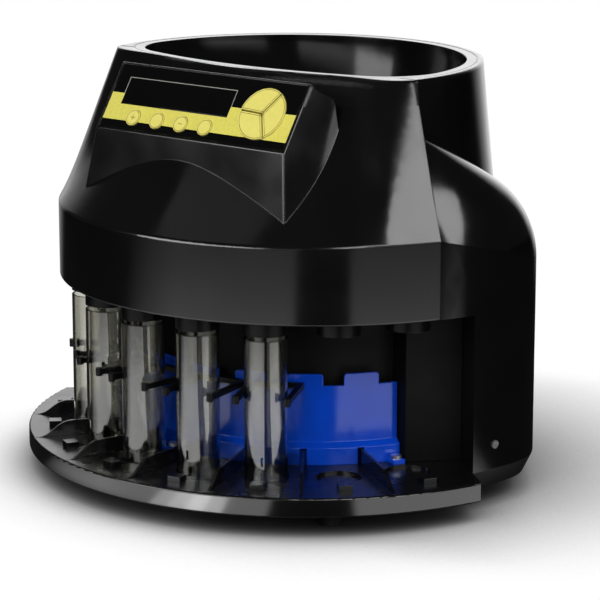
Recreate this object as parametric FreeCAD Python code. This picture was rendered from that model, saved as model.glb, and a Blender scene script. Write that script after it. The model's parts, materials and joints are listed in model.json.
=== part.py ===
import FreeCAD, Part
import math
import os

Vector = FreeCAD.Vector

# Coin sorting machine. Millimetres, +Z up, front towards -Y.
# Pieces are modelled about the upright axis of the base tray and moved, when they are written,
# so that the origin is on the floor under the middle of the machine.

# Overall size
overall_width = 355.6
overall_depth = 330.2
overall_height = 266.7

# Walls and clearances
wall = 3.0
seam = 0.3
running = 0.05
foot_height = 12.0
reach = 600.0

# Base tray
tray_end_angle = 15.2
tray_rim_height = 12.4
tray_plate = 3.0
tray_rear_inset = 6.0
tray_boss_radius = 9.0
tray_edge_round = 1.2
foot_circle = 158.0
foot_angles = (-135.0, -45.0)
rear_foot_across = 81.6
rear_foot_setback = 55.3
foot_top_radius = 8.0
foot_bottom_radius = 6.0
foot_screw_radius = 1.8
foot_screw_head = 3.6
foot_screw_head_height = 2.0
foot_floor = 4.0
foot_screw_length = 12.0

# Bays round the front of the tray
bay_count = 8
bay_spacing = 18.2
bay_middle_angle = -88.0
tube_circle = 141.0
tubed_bays = (1, 2, 3, 4, 5)
fin_thickness = 1.8
fin_height = 10.0
fin_rise = 26.0
socket_depth = 2.0
socket_clearance = 0.8
tab_circle = 167.0
tab_width = 8.6
tab_length = 8.0
tab_height = 3.6
tab_hole_radius = 2.6
tab_hole_circle = 160.0

# Coin tubes
tube_radius = 13.5
tube_wall = 1.5
tube_lift_gap = 3.0
tube_slot_width = 1.6
tube_slot_height = 6.0
tube_slot_bottom = 12.0

# Drum and column in plan
drum_radius = 168.0
drum_centre_y = 8.5
rear_radius = 145.95
side_angle = 38.0
side_round = 50.0
bay_height = 100.3
drum_wall_height = 48.4
crease_round = 3.0
drum_edge_round = 1.2

# Column faces beside the bays
strip_inner_depth = 27.0
strip_inner_angle = -10.0
strip_return_depth = 42.2

# Tower, shoulder and wing
tower_front_y = -146.1
tower_back_gap = 41.25
tower_corner_turn = -11.7
tower_taper = 0.0975
rim_front_y = -75.0
shoulder_mid_height = 38.0
shoulder_mid_front_y = -119.6
shoulder_hold_share = 0.7
corner_tuck = 7.0
roof = 5.0
wing_corner_drop = 31.1
wing_slope = 0.51
wing_edge_slope = 0.25
wing_stations = 40
wing_overlap = 8.0
wing_blend_angle = 34.0
wing_spare_angle = 2.0
wing_top_passes = 6

# Hopper bowl
lip_inset = 4.0
lip_thickness = 2.5
mouth_inset = 10.5
ledge_width = 4.0
bowl_corner_round = 38.0
bowl_wall = 2.5
bowl_floor_margin = 22.0
bowl_floor_y = 14.0
bowl_profile = ((0.0, 0.0), (0.05, 0.12), (0.42, 0.45), (0.8, 0.82), (1.0, 1.0))
coin_gap = 4.0

# Panel wedge
panel_half_width = 77.6
panel_length = 47.0
panel_tilt = 56.7
panel_top_drop = 1.4
panel_front_y = -116.3
wedge_front_lean = 8.3
wedge_side_flare = 0.32
wedge_edge_round = 1.2
pocket_margin = 1.6
pocket_depth = 1.2
overlay_thickness = 0.9

# Things on the panel, measured across from its middle and up from its lower edge
display_left = -65.6
display_right = 23.6
display_low = 18.1
display_high = 36.5
window_flange = 1.0
window_thickness = 1.6
button_radius = 5.4
button_row_height = 9.6
button_first = -50.3
button_pitch = 20.0
button_count = 4
key_proud = 0.5
key_travel = 0.8
key_gap = 0.35
key_flange_width = 1.2
key_flange_thickness = 1.0
sector_centre_across = 49.9
sector_centre_up = 23.4
sector_radius = 17.2
sector_split_angles = (57.0, 177.0, 297.0)
sector_split_gap = 1.2
sector_bar_spread = 75.0
sector_stem_circle = 9.5
stem_radius = 2.0
stem_length = 3.4
stem_spare = 0.2
switch_side = 6.0
switch_body = 3.4
plunger_radius = 1.7
plunger_height = 1.2
board_thickness = 1.6
display_board_width = 138.0
display_board_low = 3.0
display_board_high = 43.0
module_margin = 0.6
panel_post_across = 66.0
panel_post_low = 5.5
panel_post_high = 40.5
panel_post_radius = 2.5

# Guard ring
guard_radius = 116.0
guard_wall = 2.5
guard_height = 57.5
guard_flange_radius = 120.0
guard_flange_height = 13.9
guard_flange_slope = 3.0
guard_slot_spare = 0.6
guard_end_angle = 24.0
guard_end_gap = 0.8
guard_notch_width = 13.0
guard_notch_depth = 7.6
guard_notch_round = 2.0
guard_fin_slot = 4.0
guard_screw_radius = 2.0
guard_screw_head_radius = 3.6
guard_screw_head_height = 2.2
guard_screw_length = 4.5
guard_tab_reach = 9.0
guard_tab_width = 8.0
guard_tab_angles = (-157.0, -97.1, -23.0)
guard_tab_thickness = 3.0

# Tube forks
fork_tip_height = 5.0
fork_clearance = 0.3
fork_hook = 9.0
fork_hook_thickness = 2.4
fork_prong_width = 3.4
fork_prong_height = 3.4
fork_root_width = 8.4
fork_cross_gap = 2.0
fork_reach = 12.4
fork_tip_radius = 2.2

# Core and outlets
core_radius = 108.0
core_wall = 2.5
outlet_recess = 2.3
outlet_thickness = 4.0
outlet_gap = 1.0
outlet_rear_gap = 12.0
outlet_rear_start = 40.0
spigot_wall = 2.5
spigot_drop = 11.4
spigot_bore = 11.0

# Sorting head
disc_thickness = 4.0
disc_rib_count = 6
disc_rib_width = 5.0
disc_rib_height = 1.2
disc_rib_start = 26.0
disc_rib_margin = 4.0
pad_radius = 22.0
pad_thickness = 2.0
nut_flats = 13.0
nut_sides = 6
nut_height = 6.5
chute_run = 40.0
sorting_ring_clearance = 2.0
sorting_ring_width = 17.0
sorting_ring_gap = 0.6
sorting_ring_plate = 3.0
sorting_rail_width = 4.0
sorting_rail_height = 6.0
sorting_window_start = 15.0
sorting_window_step = 1.5
sorting_window_depth = 9.0
sorting_window_inset = 2.0
sorting_web = 1.0
sorting_height = 26.0
ring_wall = 3.0
chute_width = 18.0
chute_wall = 2.0
chute_depth = 6.0
chute_start_gap = 4.0
chute_start_drop = 7.0
chute_end_rise = 3.0
chute_overhang = 8.0
chute_foot = 10.0
sensor_size = 7.0
sensor_height = 9.0
sensor_setback = 14.0

# Drive
shaft_radius = 4.0
shaft_shoulder_radius = 6.5
shaft_spare = 2.0
bearing_radius = 11.0
bearing_width = 7.0
bearing_boss_wall = 4.0
bearing_span = 24.0
gear_module = 1.5
gear_teeth = 56
pinion_teeth = 12
gear_thickness = 9.0
gear_web = 4.0
gear_rim = 6.0
gear_hub_radius = 10.0
gear_height = 46.0
pinion_thickness = 11.0
tooth_root_share = 0.6
tooth_tip_share = 0.22
tooth_addendum = 1.0
tooth_dedendum = 1.25
motor_radius = 30.0
motor_height = 38.0
motor_gap = 3.0
motor_shaft_radius = 2.5
bracket_thickness = 2.0
bracket_half_width = 38.0
bracket_half_depth = 20.0
bracket_foot = 7.0
bracket_foot_screw = 14.0
motor_screw_across = 20.0
motor_boss_radius = 7.0
motor_shaft_depth = 10.0
motor_screw_radius = 1.5
motor_screw_head = 3.0
motor_screw_length = 8.0

# Electronics on the base
post_radius = 3.0
post_height = 7.0
board_length = 76.0
board_width = 56.0
board_middle_x = 74.0
board_middle_y = 30.0
post_margin = 5.0
chip_size = 14.0
connector_length = 40.0
connector_width = 6.0
connector_height = 7.0
transformer_length = 42.0
transformer_width = 36.0
transformer_height = 34.0
transformer_winding = 5.0
capacitor_radius = 5.0
capacitor_height = 14.0

# Mains switch and inlet on the back
inlet_height = 62.0
inlet_across = 17.0
rocker_across = -18.0
pad_depth = 6.5
pad_half_width = 37.0
pad_half_height = 24.0
inlet_width = 28.0
inlet_tall = 22.0
inlet_flange = 4.0
inlet_flange_thickness = 2.4
inlet_depth = 20.0
inlet_socket_depth = 14.0
inlet_pin_radius = 1.6
inlet_pin_pitch = 7.0
inlet_pin_rise = 2.0
inlet_pin_length = 11.0
inlet_wall = 3.0
rocker_width = 20.0
rocker_tall = 26.0
rocker_flange = 2.4
rocker_gap = 0.6
rocker_tilt = 9.0
rocker_depth = 16.0
rocker_pin_radius = 1.5
rocker_pin_length = 1.6
rocker_wall = 1.5
rocker_body = 6.0

# Screws at the column foot
foot_hole_height = 40.0
foot_hole_turn = -9.0
housing_screw_radius = 1.4
housing_screw_head_radius = 2.6
housing_screw_head_height = 1.6
housing_screw_length = 9.0
screw_post_width = 10.0
screw_post_depth = 10.0
screw_post_spare = 6.0
screw_post_gap = 1.0
spot_face_depth = 1.0

# Levels and sizes that follow from the ones above
tray_radius = overall_width / 2 / math.cos(math.radians(tray_end_angle))
rear_centre_y = overall_depth - tray_radius - rear_radius
back_y = rear_centre_y + rear_radius
axis_y = tray_radius - overall_depth / 2
tray_top = foot_height + tray_rim_height
drum_bottom = tray_top + bay_height
crease = drum_bottom + drum_wall_height
tower_back_y = back_y - tower_back_gap
tower_radius = (tower_back_y - tower_front_y) / 2
tower_centre_y = (tower_back_y + tower_front_y) / 2
rim_top = overall_height
outlet_low = drum_bottom + outlet_recess
outlet_high = outlet_low + outlet_thickness
spigot_low = outlet_low - spigot_drop
tube_low = tray_top - socket_depth
tube_high = spigot_low - tube_lift_gap
tube_bore = tube_radius - tube_wall
sorting_low = outlet_high + sorting_height
sorting_high = sorting_low + sorting_ring_plate
disc_low = sorting_high - disc_thickness
bowl_low = sorting_high + coin_gap
gear_low = tray_top + gear_height
rail_depth = rim_top - sorting_high - sorting_rail_height
tower_room = tower_back_y + tower_taper * rail_depth - wall - drum_centre_y
sorting_ring_radius = min(tube_circle - chute_run, tower_room - sorting_ring_clearance)
disc_radius = sorting_ring_radius - sorting_ring_width
bowl_floor_radius = disc_radius - bowl_floor_margin
window_near = disc_radius + sorting_ring_gap + sorting_window_inset
chute_start = disc_radius + chute_start_gap
gear_pitch_radius = gear_module * gear_teeth / 2
pinion_pitch_radius = gear_module * pinion_teeth / 2
motor_y = drum_centre_y - gear_pitch_radius - pinion_pitch_radius
motor_low = gear_low - motor_gap - motor_height
drum_centre = Vector(0, drum_centre_y, 0)
rear_centre = Vector(0, rear_centre_y, 0)
tower_centre = Vector(0, tower_centre_y, 0)
slope_cos = math.cos(math.radians(panel_tilt))
slope_sin = math.sin(math.radians(panel_tilt))
panel_up = Vector(0, slope_cos, slope_sin)
panel_out = Vector(0, -slope_sin, slope_cos)
panel_foot = Vector(0, panel_front_y, rim_top - panel_top_drop - panel_length * slope_sin)
board_level = -(wall + key_flange_thickness + stem_length + switch_body + plunger_height)


def polar(radius, angle, z=0.0, centre=Vector(0, 0, 0)):
    """A point at a radius and angle in degrees round an upright axis."""
    turn = math.radians(angle)
    return Vector(centre.x + radius * math.cos(turn), centre.y + radius * math.sin(turn), z)


def bay_angle(bay):
    return bay_middle_angle + bay_spacing * (bay - (bay_count - 1) / 2)


def fin_angle(fin):
    return bay_middle_angle + bay_spacing * (fin - bay_count / 2)


def angle_about(centre, point):
    return math.degrees(math.atan2(point.y - centre.y, point.x - centre.x))


def at_level(point, z):
    return Vector(point.x, point.y, z)


def mirrored(point):
    return Vector(-point.x, point.y, point.z)


def cylinder(radius, low, high, centre=Vector(0, 0, 0)):
    return Part.makeCylinder(radius, high - low, at_level(centre, low))


def tube(outer, inner, low, high, centre=Vector(0, 0, 0)):
    return cylinder(outer, low, high, centre).cut(cylinder(inner, low, high, centre))


def box(low, high):
    size = high - low
    return Part.makeBox(size.x, size.y, size.z, low)


def centred_box(width, depth, low, high, centre=Vector(0, 0, 0)):
    corner = Vector(centre.x - width / 2, centre.y - depth / 2, low)
    return Part.makeBox(width, depth, high - low, corner)


def arc(start, middle, end):
    return Part.Arc(start, middle, end).toShape()


def prism(wire, low, high):
    """A flat wire at any level, raised from low to high."""
    base = wire.copy()
    base.translate(Vector(0, 0, low - wire.BoundBox.ZMin))
    return Part.Face(base).extrude(Vector(0, 0, high - low))


def polygon_prism(points, low, high):
    return prism(Part.makePolygon(points + [points[0]]), low, high)


def sector(radius, start, end, low, high, centre=Vector(0, 0, 0)):
    """A slice of a cylinder between two angles."""
    first = polar(radius, start, 0, centre)
    last = polar(radius, end, 0, centre)
    bend = polar(radius, (start + end) / 2, 0, centre)
    hub = at_level(centre, 0)
    edges = [Part.makeLine(hub, first), arc(first, bend, last), Part.makeLine(last, hub)]
    return prism(Part.Wire(edges), low, high)


def half_space(point, normal, size=reach):
    """A block whose one face passes through the point, on the side the normal shows."""
    block = Part.makeBox(size, size, size, Vector(-size / 2, -size / 2, 0))
    turn = FreeCAD.Rotation(Vector(0, 0, 1), normal)
    block.Placement = FreeCAD.Placement(point, turn)
    return block


def turned(shape, angle, centre=Vector(0, 0, 0)):
    copy = shape.copy()
    copy.rotate(centre, Vector(0, 0, 1), angle)
    return copy


def moved(shape, offset):
    copy = shape.copy()
    copy.translate(offset)
    return copy


def mirrored_shape(shape):
    return shape.mirror(Vector(0, 0, 0), Vector(1, 0, 0))


def both_sides(shape):
    return [shape, mirrored_shape(shape)]


def on_panel(shape):
    """From panel coordinates (across, up the slope, out of the face) to the machine."""
    copy = shape.copy()
    copy.rotate(Vector(0, 0, 0), Vector(1, 0, 0), panel_tilt)
    copy.translate(panel_foot)
    return copy


def circles_meet(first, first_radius, second, second_radius):
    """The meeting point of two circles on the right-hand side, +X."""
    gap = second - first
    span = gap.Length
    along = (span ** 2 + first_radius ** 2 - second_radius ** 2) / (2 * span)
    aside = math.sqrt(first_radius ** 2 - along ** 2)
    way = gap / span
    foot = first + way * along
    across = Vector(way.y, -way.x, 0) * aside
    return max((foot + across, foot - across), key=lambda point: point.x)


def body_outline(inset=0.0):
    """Plan of the drum and column: front arc, rounded side, flat side and rear arc."""
    front = drum_radius - inset
    rear = rear_radius - inset
    bend = side_round - inset
    normal = polar(1.0, side_angle)
    forward = Vector(normal.y, -normal.x, 0)
    deep = rear - bend + normal.dot(rear_centre - drum_centre)
    along = math.sqrt((front - bend) ** 2 - deep ** 2)
    pivot = drum_centre + normal * deep + forward * along
    spoke = (pivot - drum_centre).normalize()
    on_front = drum_centre + spoke * front
    on_side = pivot + normal * bend
    between = pivot + (spoke + normal).normalize() * bend
    on_rear = rear_centre + normal * rear
    nose = Vector(0, drum_centre_y - front, 0)
    back = Vector(0, rear_centre_y + rear, 0)
    edges = [
        arc(mirrored(on_front), nose, on_front),
        arc(on_front, between, on_side),
        Part.makeLine(on_side, on_rear),
        arc(on_rear, back, mirrored(on_rear)),
        Part.makeLine(mirrored(on_rear), mirrored(on_side)),
        arc(mirrored(on_side), mirrored(between), mirrored(on_front)),
    ]
    return Part.Wire(edges)


strip_inner = polar(drum_radius - strip_inner_depth, strip_inner_angle, 0, drum_centre)
strip_return = polar(drum_radius - strip_return_depth, -guard_end_angle, 0, drum_centre)


def rim_corner(inset=0.0):
    return polar(tower_radius - inset, tower_corner_turn, 0, tower_centre)


corner_angle = angle_about(drum_centre, rim_corner())
corner_crease = polar(drum_radius, corner_angle, crease, drum_centre)
wing_corner_z = rim_top - wing_corner_drop


def front_bow(inset):
    """Centre and radius of the bowed front edge of the rim."""
    corner = rim_corner(inset)
    middle_y = rim_front_y + inset
    rise = corner.y - middle_y
    radius = (corner.x ** 2 + rise ** 2) / (2 * rise)
    return Vector(0, middle_y + radius, 0), radius


def rim_arcs(inset, corner_round):
    """Hopper mouth in plan as four arcs of three points: front, corner, rear, corner."""
    rear = tower_radius - inset
    bow_centre, bow = front_bow(inset)
    pivot = circles_meet(tower_centre, rear - corner_round, bow_centre, bow - corner_round)
    on_bow = bow_centre + (pivot - bow_centre).normalize() * bow
    on_rear = tower_centre + (pivot - tower_centre).normalize() * rear
    outwards = (on_bow + on_rear) / 2 - pivot
    between = pivot + outwards.normalize() * corner_round
    front = Vector(0, rim_front_y + inset, 0)
    back = Vector(0, tower_centre_y + rear, 0)
    return [
        (mirrored(on_bow), front, on_bow),
        (on_bow, between, on_rear),
        (on_rear, back, mirrored(on_rear)),
        (mirrored(on_rear), mirrored(between), mirrored(on_bow)),
    ]


def circle_arcs(arcs, radius, centre):
    """A circle cut into as many arcs as given, each facing its own arc."""
    return [tuple(polar(radius, angle_about(centre, spot), 0, centre) for spot in spots) for spots in arcs]


def mixed_arcs(first, second, share):
    """Arcs part of the way from one set to another."""
    mixed = []
    for start, end in zip(first, second):
        mixed.append(tuple(near + (far - near) * share for near, far in zip(start, end)))
    return mixed


def arcs_wire(arcs, z):
    return Part.Wire([arc(*[at_level(spot, z) for spot in spots]) for spots in arcs])


def rounded_rim(inset):
    return arcs_wire(rim_arcs(inset, bowl_corner_round), 0.0)


def tower_radius_at(z):
    return tower_radius + tower_taper * (rim_top - z)


def rounded_arcs(shape, radius, level, size, centre=Vector(0, 0, 0)):
    """The shape with its round edges of one radius, at one level, taken off to a small round."""
    hub = at_level(centre, level)
    edges = []
    for edge in shape.Edges:
        ends = [edge.valueAt(spot) for spot in (edge.FirstParameter, edge.LastParameter)]
        middle = edge.valueAt((edge.FirstParameter + edge.LastParameter) / 2)
        if max(abs((spot - hub).Length - radius) for spot in ends + [middle]) < seam:
            edges.append(edge)
    return shape.makeFillet(size, edges)


def front_section(z, corner, front_y):
    """A pie slice between the two corner planes with a bowed front that tucks in at the corners."""
    right = at_level(corner, z)
    nose = Vector(0, front_y, z)
    hub = at_level(drum_centre, z)
    rise = right.y - front_y
    bow = (right.x ** 2 + rise ** 2) / (2 * rise)
    middle = Vector(0, front_y + bow, z)
    turn = angle_about(middle, right) + 90
    hold = polar(bow, shoulder_hold_share * turn - 90, z, middle)
    tangent = polar(1.0, angle_about(hub, right) + 90 + corner_tuck)
    start = Vector(tangent.x, -tangent.y, 0)
    curve = Part.BSplineCurve()
    spots = [mirrored(right), mirrored(hold), nose, hold, right]
    curve.interpolate(Points=spots, InitialTangent=start, FinalTangent=tangent)
    edges = [curve.toShape(), Part.makeLine(right, hub), Part.makeLine(hub, mirrored(right))]
    return Part.Wire(edges)


def drum_section(z, radius):
    """A pie slice of the drum between the two corner planes."""
    right = polar(radius, corner_angle, z, drum_centre)
    hub = at_level(drum_centre, z)
    bend = arc(mirrored(right), Vector(0, drum_centre_y - radius, z), right)
    return Part.Wire([bend, Part.makeLine(right, hub), Part.makeLine(hub, mirrored(right))])


def corner_at(z, inset):
    """The straight corner edge of the shoulder, from the crease to the rim."""
    share = (z - crease) / (rim_top - crease)
    low = drum_radius - inset
    high = (rim_corner() - drum_centre).Length - inset
    return polar(low + (high - low) * share, corner_angle, z, drum_centre)


def front_block(inset):
    """Shoulder between the corners, hollowing gently from the drum to the rim."""
    top = rim_top - (roof if inset else 0.0)
    middle = crease + shoulder_mid_height
    middle_front = shoulder_mid_front_y + inset
    top_share = (top - middle) / (rim_top - middle)
    top_front = shoulder_mid_front_y + (rim_front_y - shoulder_mid_front_y) * top_share + inset
    sections = [
        drum_section(crease, drum_radius - inset),
        front_section(middle, corner_at(middle, inset), middle_front),
        front_section(top, corner_at(top, inset), top_front),
    ]
    shoulder = Part.makeLoft(sections, True, False)
    low = drum_bottom - (wall if inset else 0.0)
    skirt = sector(drum_radius - inset, -180 - corner_angle, corner_angle, low, crease, drum_centre)
    return shoulder.fuse(skirt)


def outline_reach(wire, angle):
    """How far the plan outline lies from the drum axis at an angle."""
    ray = Part.makeLine(drum_centre, polar(reach, angle, 0, drum_centre))
    crossing = wire.distToShape(ray)[1][0][0]
    return (crossing - drum_centre).Length


def wing_top(angle):
    """Where the wing meets the tower: distance from the drum axis, and height."""
    way = polar(1.0, angle)
    offset = drum_centre - tower_centre
    z = wing_corner_z
    for _ in range(wing_top_passes):
        radius = tower_radius_at(z)
        middle = way.dot(offset)
        distance = math.sqrt(middle ** 2 - offset.dot(offset) + radius ** 2) - middle
        point = drum_centre + way * distance
        z = wing_corner_z - wing_slope * (point.y - rim_corner().y)
    return distance, z


def wing_section(angle, inset, outline):
    """One upright slice of the wing and column wall, in a plane through the drum axis."""
    outer = outline_reach(outline, angle)
    top_reach, top_z = wing_top(angle)
    inner = top_reach - (2 * wing_overlap if inset else wing_overlap)
    edge_y = drum_centre_y + outer * math.sin(math.radians(angle))
    edge_z = crease - wing_edge_slope * (edge_y - corner_crease.y)
    top_z = top_z - inset
    low = tray_top - inset
    turn_in = min(angle - corner_angle, 180 - corner_angle - angle)
    blend = max(0.0, min(1.0, turn_in / wing_blend_angle))
    slant = corner_at(top_z, inset) - at_level(drum_centre, top_z)
    leaning = [((outer + slant.Length) / 2, (edge_z + top_z) / 2), (slant.Length, top_z)]
    rounded = [(outer, (edge_z + top_z) / 2), ((outer + top_reach) / 2, top_z)]
    poles = [(outer, edge_z)]
    for lean_pole, round_pole in zip(leaning, rounded):
        across = lean_pole[0] + (round_pole[0] - lean_pole[0]) * blend
        up = lean_pole[1] + (round_pole[1] - lean_pole[1]) * blend
        poles.append((across, up))
    poles.append((inner, top_z))
    points = [polar(across, angle, up, drum_centre) for across, up in poles]
    curve = Part.BezierCurve()
    curve.setPoles(points)
    foot_in = polar(inner, angle, low, drum_centre)
    foot_out = polar(outer, angle, low, drum_centre)
    edges = [
        Part.makeLine(foot_in, foot_out),
        Part.makeLine(foot_out, points[0]),
        curve.toShape(),
        Part.makeLine(points[-1], foot_in),
    ]
    return Part.Wire(edges)


def rear_block(inset):
    """Wing and column walls from one corner round the back to the other."""
    outline = body_outline(inset)
    spare = wing_spare_angle if inset else 0.0
    start = corner_angle - spare
    step = (180 - 2 * start) / wing_stations
    angles = [start + step * station for station in range(wing_stations + 1)]
    sections = [wing_section(angle, inset, outline) for angle in angles]
    return Part.makeLoft(sections, True, False)


def wedge(inset):
    """Raised block that carries the control panel."""
    low = Vector(-reach / 4, panel_front_y - reach / 8, crease + wall)
    high = Vector(reach / 4, rim_front_y + inset, rim_top)
    block = box(low, high)
    block = block.cut(half_space(panel_foot - panel_out * inset, panel_out))
    lean = math.radians(wedge_front_lean)
    front_normal = Vector(0, -math.cos(lean), math.sin(lean))
    block = block.cut(half_space(panel_foot - front_normal * inset, front_normal))
    top_edge = panel_foot + panel_up * (panel_length - inset)
    block = block.cut(half_space(top_edge, panel_up))
    side_normal = (Vector(1, 0, 0) + panel_out * wedge_side_flare).normalize()
    side_point = panel_foot + Vector(panel_half_width, 0, 0) - side_normal * inset
    side = half_space(side_point, side_normal)
    for cutter in both_sides(side):
        block = block.cut(cutter)
    return block


def rounded_wedge():
    """The wedge with the edges round its panel and its two front corners rounded."""
    block = wedge(0.0)
    edges = []
    for edge in block.Edges:
        middle = edge.valueAt((edge.FirstParameter + edge.LastParameter) / 2) - panel_foot
        on_face = abs(middle.dot(panel_out)) < seam
        upright = edge.BoundBox.ZLength > wall
        at_front_corner = upright and middle.z < -seam and middle.y < panel_length / 2
        if on_face or at_front_corner:
            edges.append(edge)
    return block.makeFillet(wedge_edge_round, edges)


def tower_solid(clearance, low, high):
    """Outer form of the hopper tower behind the corner plane, grown by a clearance."""
    bottom_radius = tower_radius_at(low) + clearance
    top_radius = tower_radius_at(high) + clearance
    cone = Part.makeCone(bottom_radius, top_radius, high - low, at_level(tower_centre, low))
    front = box(Vector(-reach, -reach, low), Vector(reach, rim_corner().y - clearance, high))
    return cone.cut(front)


def strip_line_end():
    """Where the line of the column's front strip leaves the tray rim."""
    return polar(tray_radius, -tray_end_angle)


def strip_way():
    return (strip_line_end() - strip_inner).normalize()


def bay_space(low, high):
    """Everything in front of the column's strips and return walls."""
    far_right = strip_inner + strip_way() * reach
    points = [strip_inner, far_right, Vector(far_right.x, -2 * reach, 0)]
    left = [mirrored(point) for point in reversed(points)]
    return polygon_prism(points + left, low, high)


def strip_plate():
    """Front strip of the column, from its outer wall in to the return wall."""
    way = strip_way()
    behind = Vector(-way.y, way.x, 0)
    near = strip_inner
    far = strip_inner + way * reach / 4
    points = [near, far, far + behind * wall, near + behind * wall]
    plate = polygon_prism(points, tray_top, outlet_low)
    return plate.common(prism(body_outline(wall / 2), tray_top, outlet_low))


def back_pad(depth):
    """Flat seat for the mains inlet and switch in the round back."""
    low = Vector(-pad_half_width, back_y - depth, inlet_height - pad_half_height)
    high = Vector(pad_half_width, back_y + wall, inlet_height + pad_half_height)
    return box(low, high)


def back_seat():
    outer = box(
        Vector(-pad_half_width - wall, back_y - pad_depth - wall, inlet_height - pad_half_height - wall),
        Vector(pad_half_width + wall, back_y, inlet_height + pad_half_height + wall),
    )
    return outer.common(prism(body_outline(wall / 2), tray_top, drum_bottom))


def inlet_middle():
    return Vector(inlet_across, back_y - pad_depth, inlet_height)


def rocker_middle():
    return Vector(rocker_across, back_y - pad_depth, inlet_height)


def back_box(middle, width, tall, front, back):
    """A box about a point of the back seat, from a depth inside to one outside."""
    low = Vector(middle.x - width / 2, middle.y - front, middle.z - tall / 2)
    high = Vector(middle.x + width / 2, middle.y + back, middle.z + tall / 2)
    return box(low, high)


def foot_screw_line():
    """Outer end and inward direction of the screw through the column foot."""
    angle = foot_hole_turn
    outline = body_outline()
    point = polar(outline_reach(outline, angle), angle, foot_hole_height, drum_centre)
    inward = polar(1.0, angle + 180)
    return point, inward


def key_spots():
    """Across and up positions of the round buttons."""
    return [(button_first + button_pitch * index, button_row_height) for index in range(button_count)]


def sector_plate(index, radius, gap, low, high):
    """One of the three sectors of the round key, between its split lines."""
    centre = Vector(sector_centre_across, sector_centre_up, 0)
    start = sector_split_angles[index]
    end = sector_split_angles[(index + 1) % len(sector_split_angles)]
    if end < start:
        end += 360
    plate = sector(radius, start, end, low, high, centre)
    for angle, side in ((start, 1), (end, -1)):
        bar = box(Vector(-radius, -reach / 8, low), Vector(2 * radius, gap / 2, high))
        if side < 0:
            bar = box(Vector(-radius, -gap / 2, low), Vector(2 * radius, reach / 8, high))
        bar.rotate(Vector(0, 0, 0), Vector(0, 0, 1), angle)
        bar.translate(centre)
        near = sector(reach / 8, angle - sector_bar_spread, angle + sector_bar_spread, low, high, centre)
        plate = plate.cut(bar.common(near))
    return plate


def sector_middle(index):
    start = sector_split_angles[index]
    spread = 360 / len(sector_split_angles)
    centre = Vector(sector_centre_across, sector_centre_up, 0)
    return polar(sector_stem_circle, start + spread / 2, 0, centre)


def panel_openings(low, high):
    """Clear holes for the window and all keys, in panel coordinates."""
    cut = box(Vector(display_left, display_low, low), Vector(display_right, display_high, high))
    for across, up in key_spots():
        cut = cut.fuse(cylinder(button_radius + key_gap, low, high, Vector(across, up, 0)))
    middle = Vector(sector_centre_across, sector_centre_up, 0)
    return cut.fuse(cylinder(sector_radius + key_gap, low, high, middle))


def lip_pocket():
    """Room for the lip of the hopper bowl, let into the top."""
    return prism(rounded_rim(lip_inset), rim_top - lip_thickness, rim_top + wall)


def mouth_hole():
    """Opening inside the ledge that carries the lip."""
    return prism(rounded_rim(lip_inset + ledge_width), rim_top - roof - wall, rim_top + wall)


def panel_post_spots():
    spots = []
    for across in (-panel_post_across, panel_post_across):
        for up in (panel_post_low, panel_post_high):
            spots.append(Vector(across, up, 0))
    return spots


def make_main_housing():
    shell = rounded_arcs(front_block(0.0), drum_radius, crease, crease_round, drum_centre)
    shell = rounded_arcs(shell, drum_radius, drum_bottom, drum_edge_round, drum_centre)
    shell = shell.cut(front_block(wall))
    shell = shell.cut(wedge(wall))
    block = rounded_wedge().cut(wedge(wall)).cut(front_block(wall))
    shell = shell.fuse(block)
    column = rear_block(0.0).cut(rear_block(wall))
    shell = shell.fuse(column)
    shell = shell.cut(bay_space(0.0, drum_bottom))
    shell = shell.cut(tower_solid(seam, outlet_high, rim_top + wall))
    shell = shell.cut(lip_pocket()).cut(mouth_hole())
    for plate in both_sides(strip_plate()):
        shell = shell.fuse(plate)
    shell = shell.cut(back_pad(pad_depth))
    seat = back_seat().cut(back_pad(pad_depth))
    shell = shell.fuse(seat)
    shell = shell.cut(back_box(inlet_middle(), inlet_width + seam, inlet_tall + seam, reach / 8, wall))
    shell = shell.cut(back_box(rocker_middle(), rocker_width + seam, rocker_tall + seam, reach / 8, wall))
    pocket_low = Vector(-panel_half_width + pocket_margin, pocket_margin, -pocket_depth)
    pocket_high = Vector(panel_half_width - pocket_margin, panel_length - pocket_margin, wall)
    shell = shell.cut(on_panel(box(pocket_low, pocket_high)))
    shell = shell.cut(on_panel(panel_openings(-2 * wall, wall)))
    for spot in panel_post_spots():
        shell = shell.fuse(on_panel(cylinder(panel_post_radius, board_level, -wall, spot)))
    point, inward = foot_screw_line()
    hole = Part.makeCylinder(housing_screw_radius + seam, 2 * wall, point - inward * wall, inward)
    seat_radius = housing_screw_head_radius + seam
    seat = Part.makeCylinder(seat_radius, wall, point + inward * spot_face_depth, -inward)
    for cutter in both_sides(hole) + both_sides(seat):
        shell = shell.cut(cutter)
    return shell


def make_hopper_tower():
    """Tapered wall behind the corners, with a ledge at the top for the bowl."""
    bottom = tower_radius_at(outlet_high) - wall
    top = tower_radius_at(rim_top) - wall
    hollow = Part.makeCone(bottom, top, rim_top - outlet_high, at_level(tower_centre, outlet_high))
    shell = tower_solid(0.0, outlet_high, rim_top).cut(hollow)
    shell = shell.fuse(tower_solid(0.0, rim_top - roof, rim_top))
    return shell.cut(mouth_hole()).cut(lip_pocket())


def bowl_surface(grow):
    """The funnel, from the mouth in the lip down to the round hole over the disc."""
    mouth = rim_arcs(mouth_inset - grow, bowl_corner_round)
    floor_centre = Vector(0, bowl_floor_y, 0)
    floor = circle_arcs(mouth, bowl_floor_radius + grow, floor_centre)
    depth = rim_top - bowl_low
    sections = []
    for share, fall in bowl_profile:
        sections.append(arcs_wire(mixed_arcs(mouth, floor, share), rim_top - fall * depth))
    return Part.makeLoft(sections, True, False)


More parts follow.
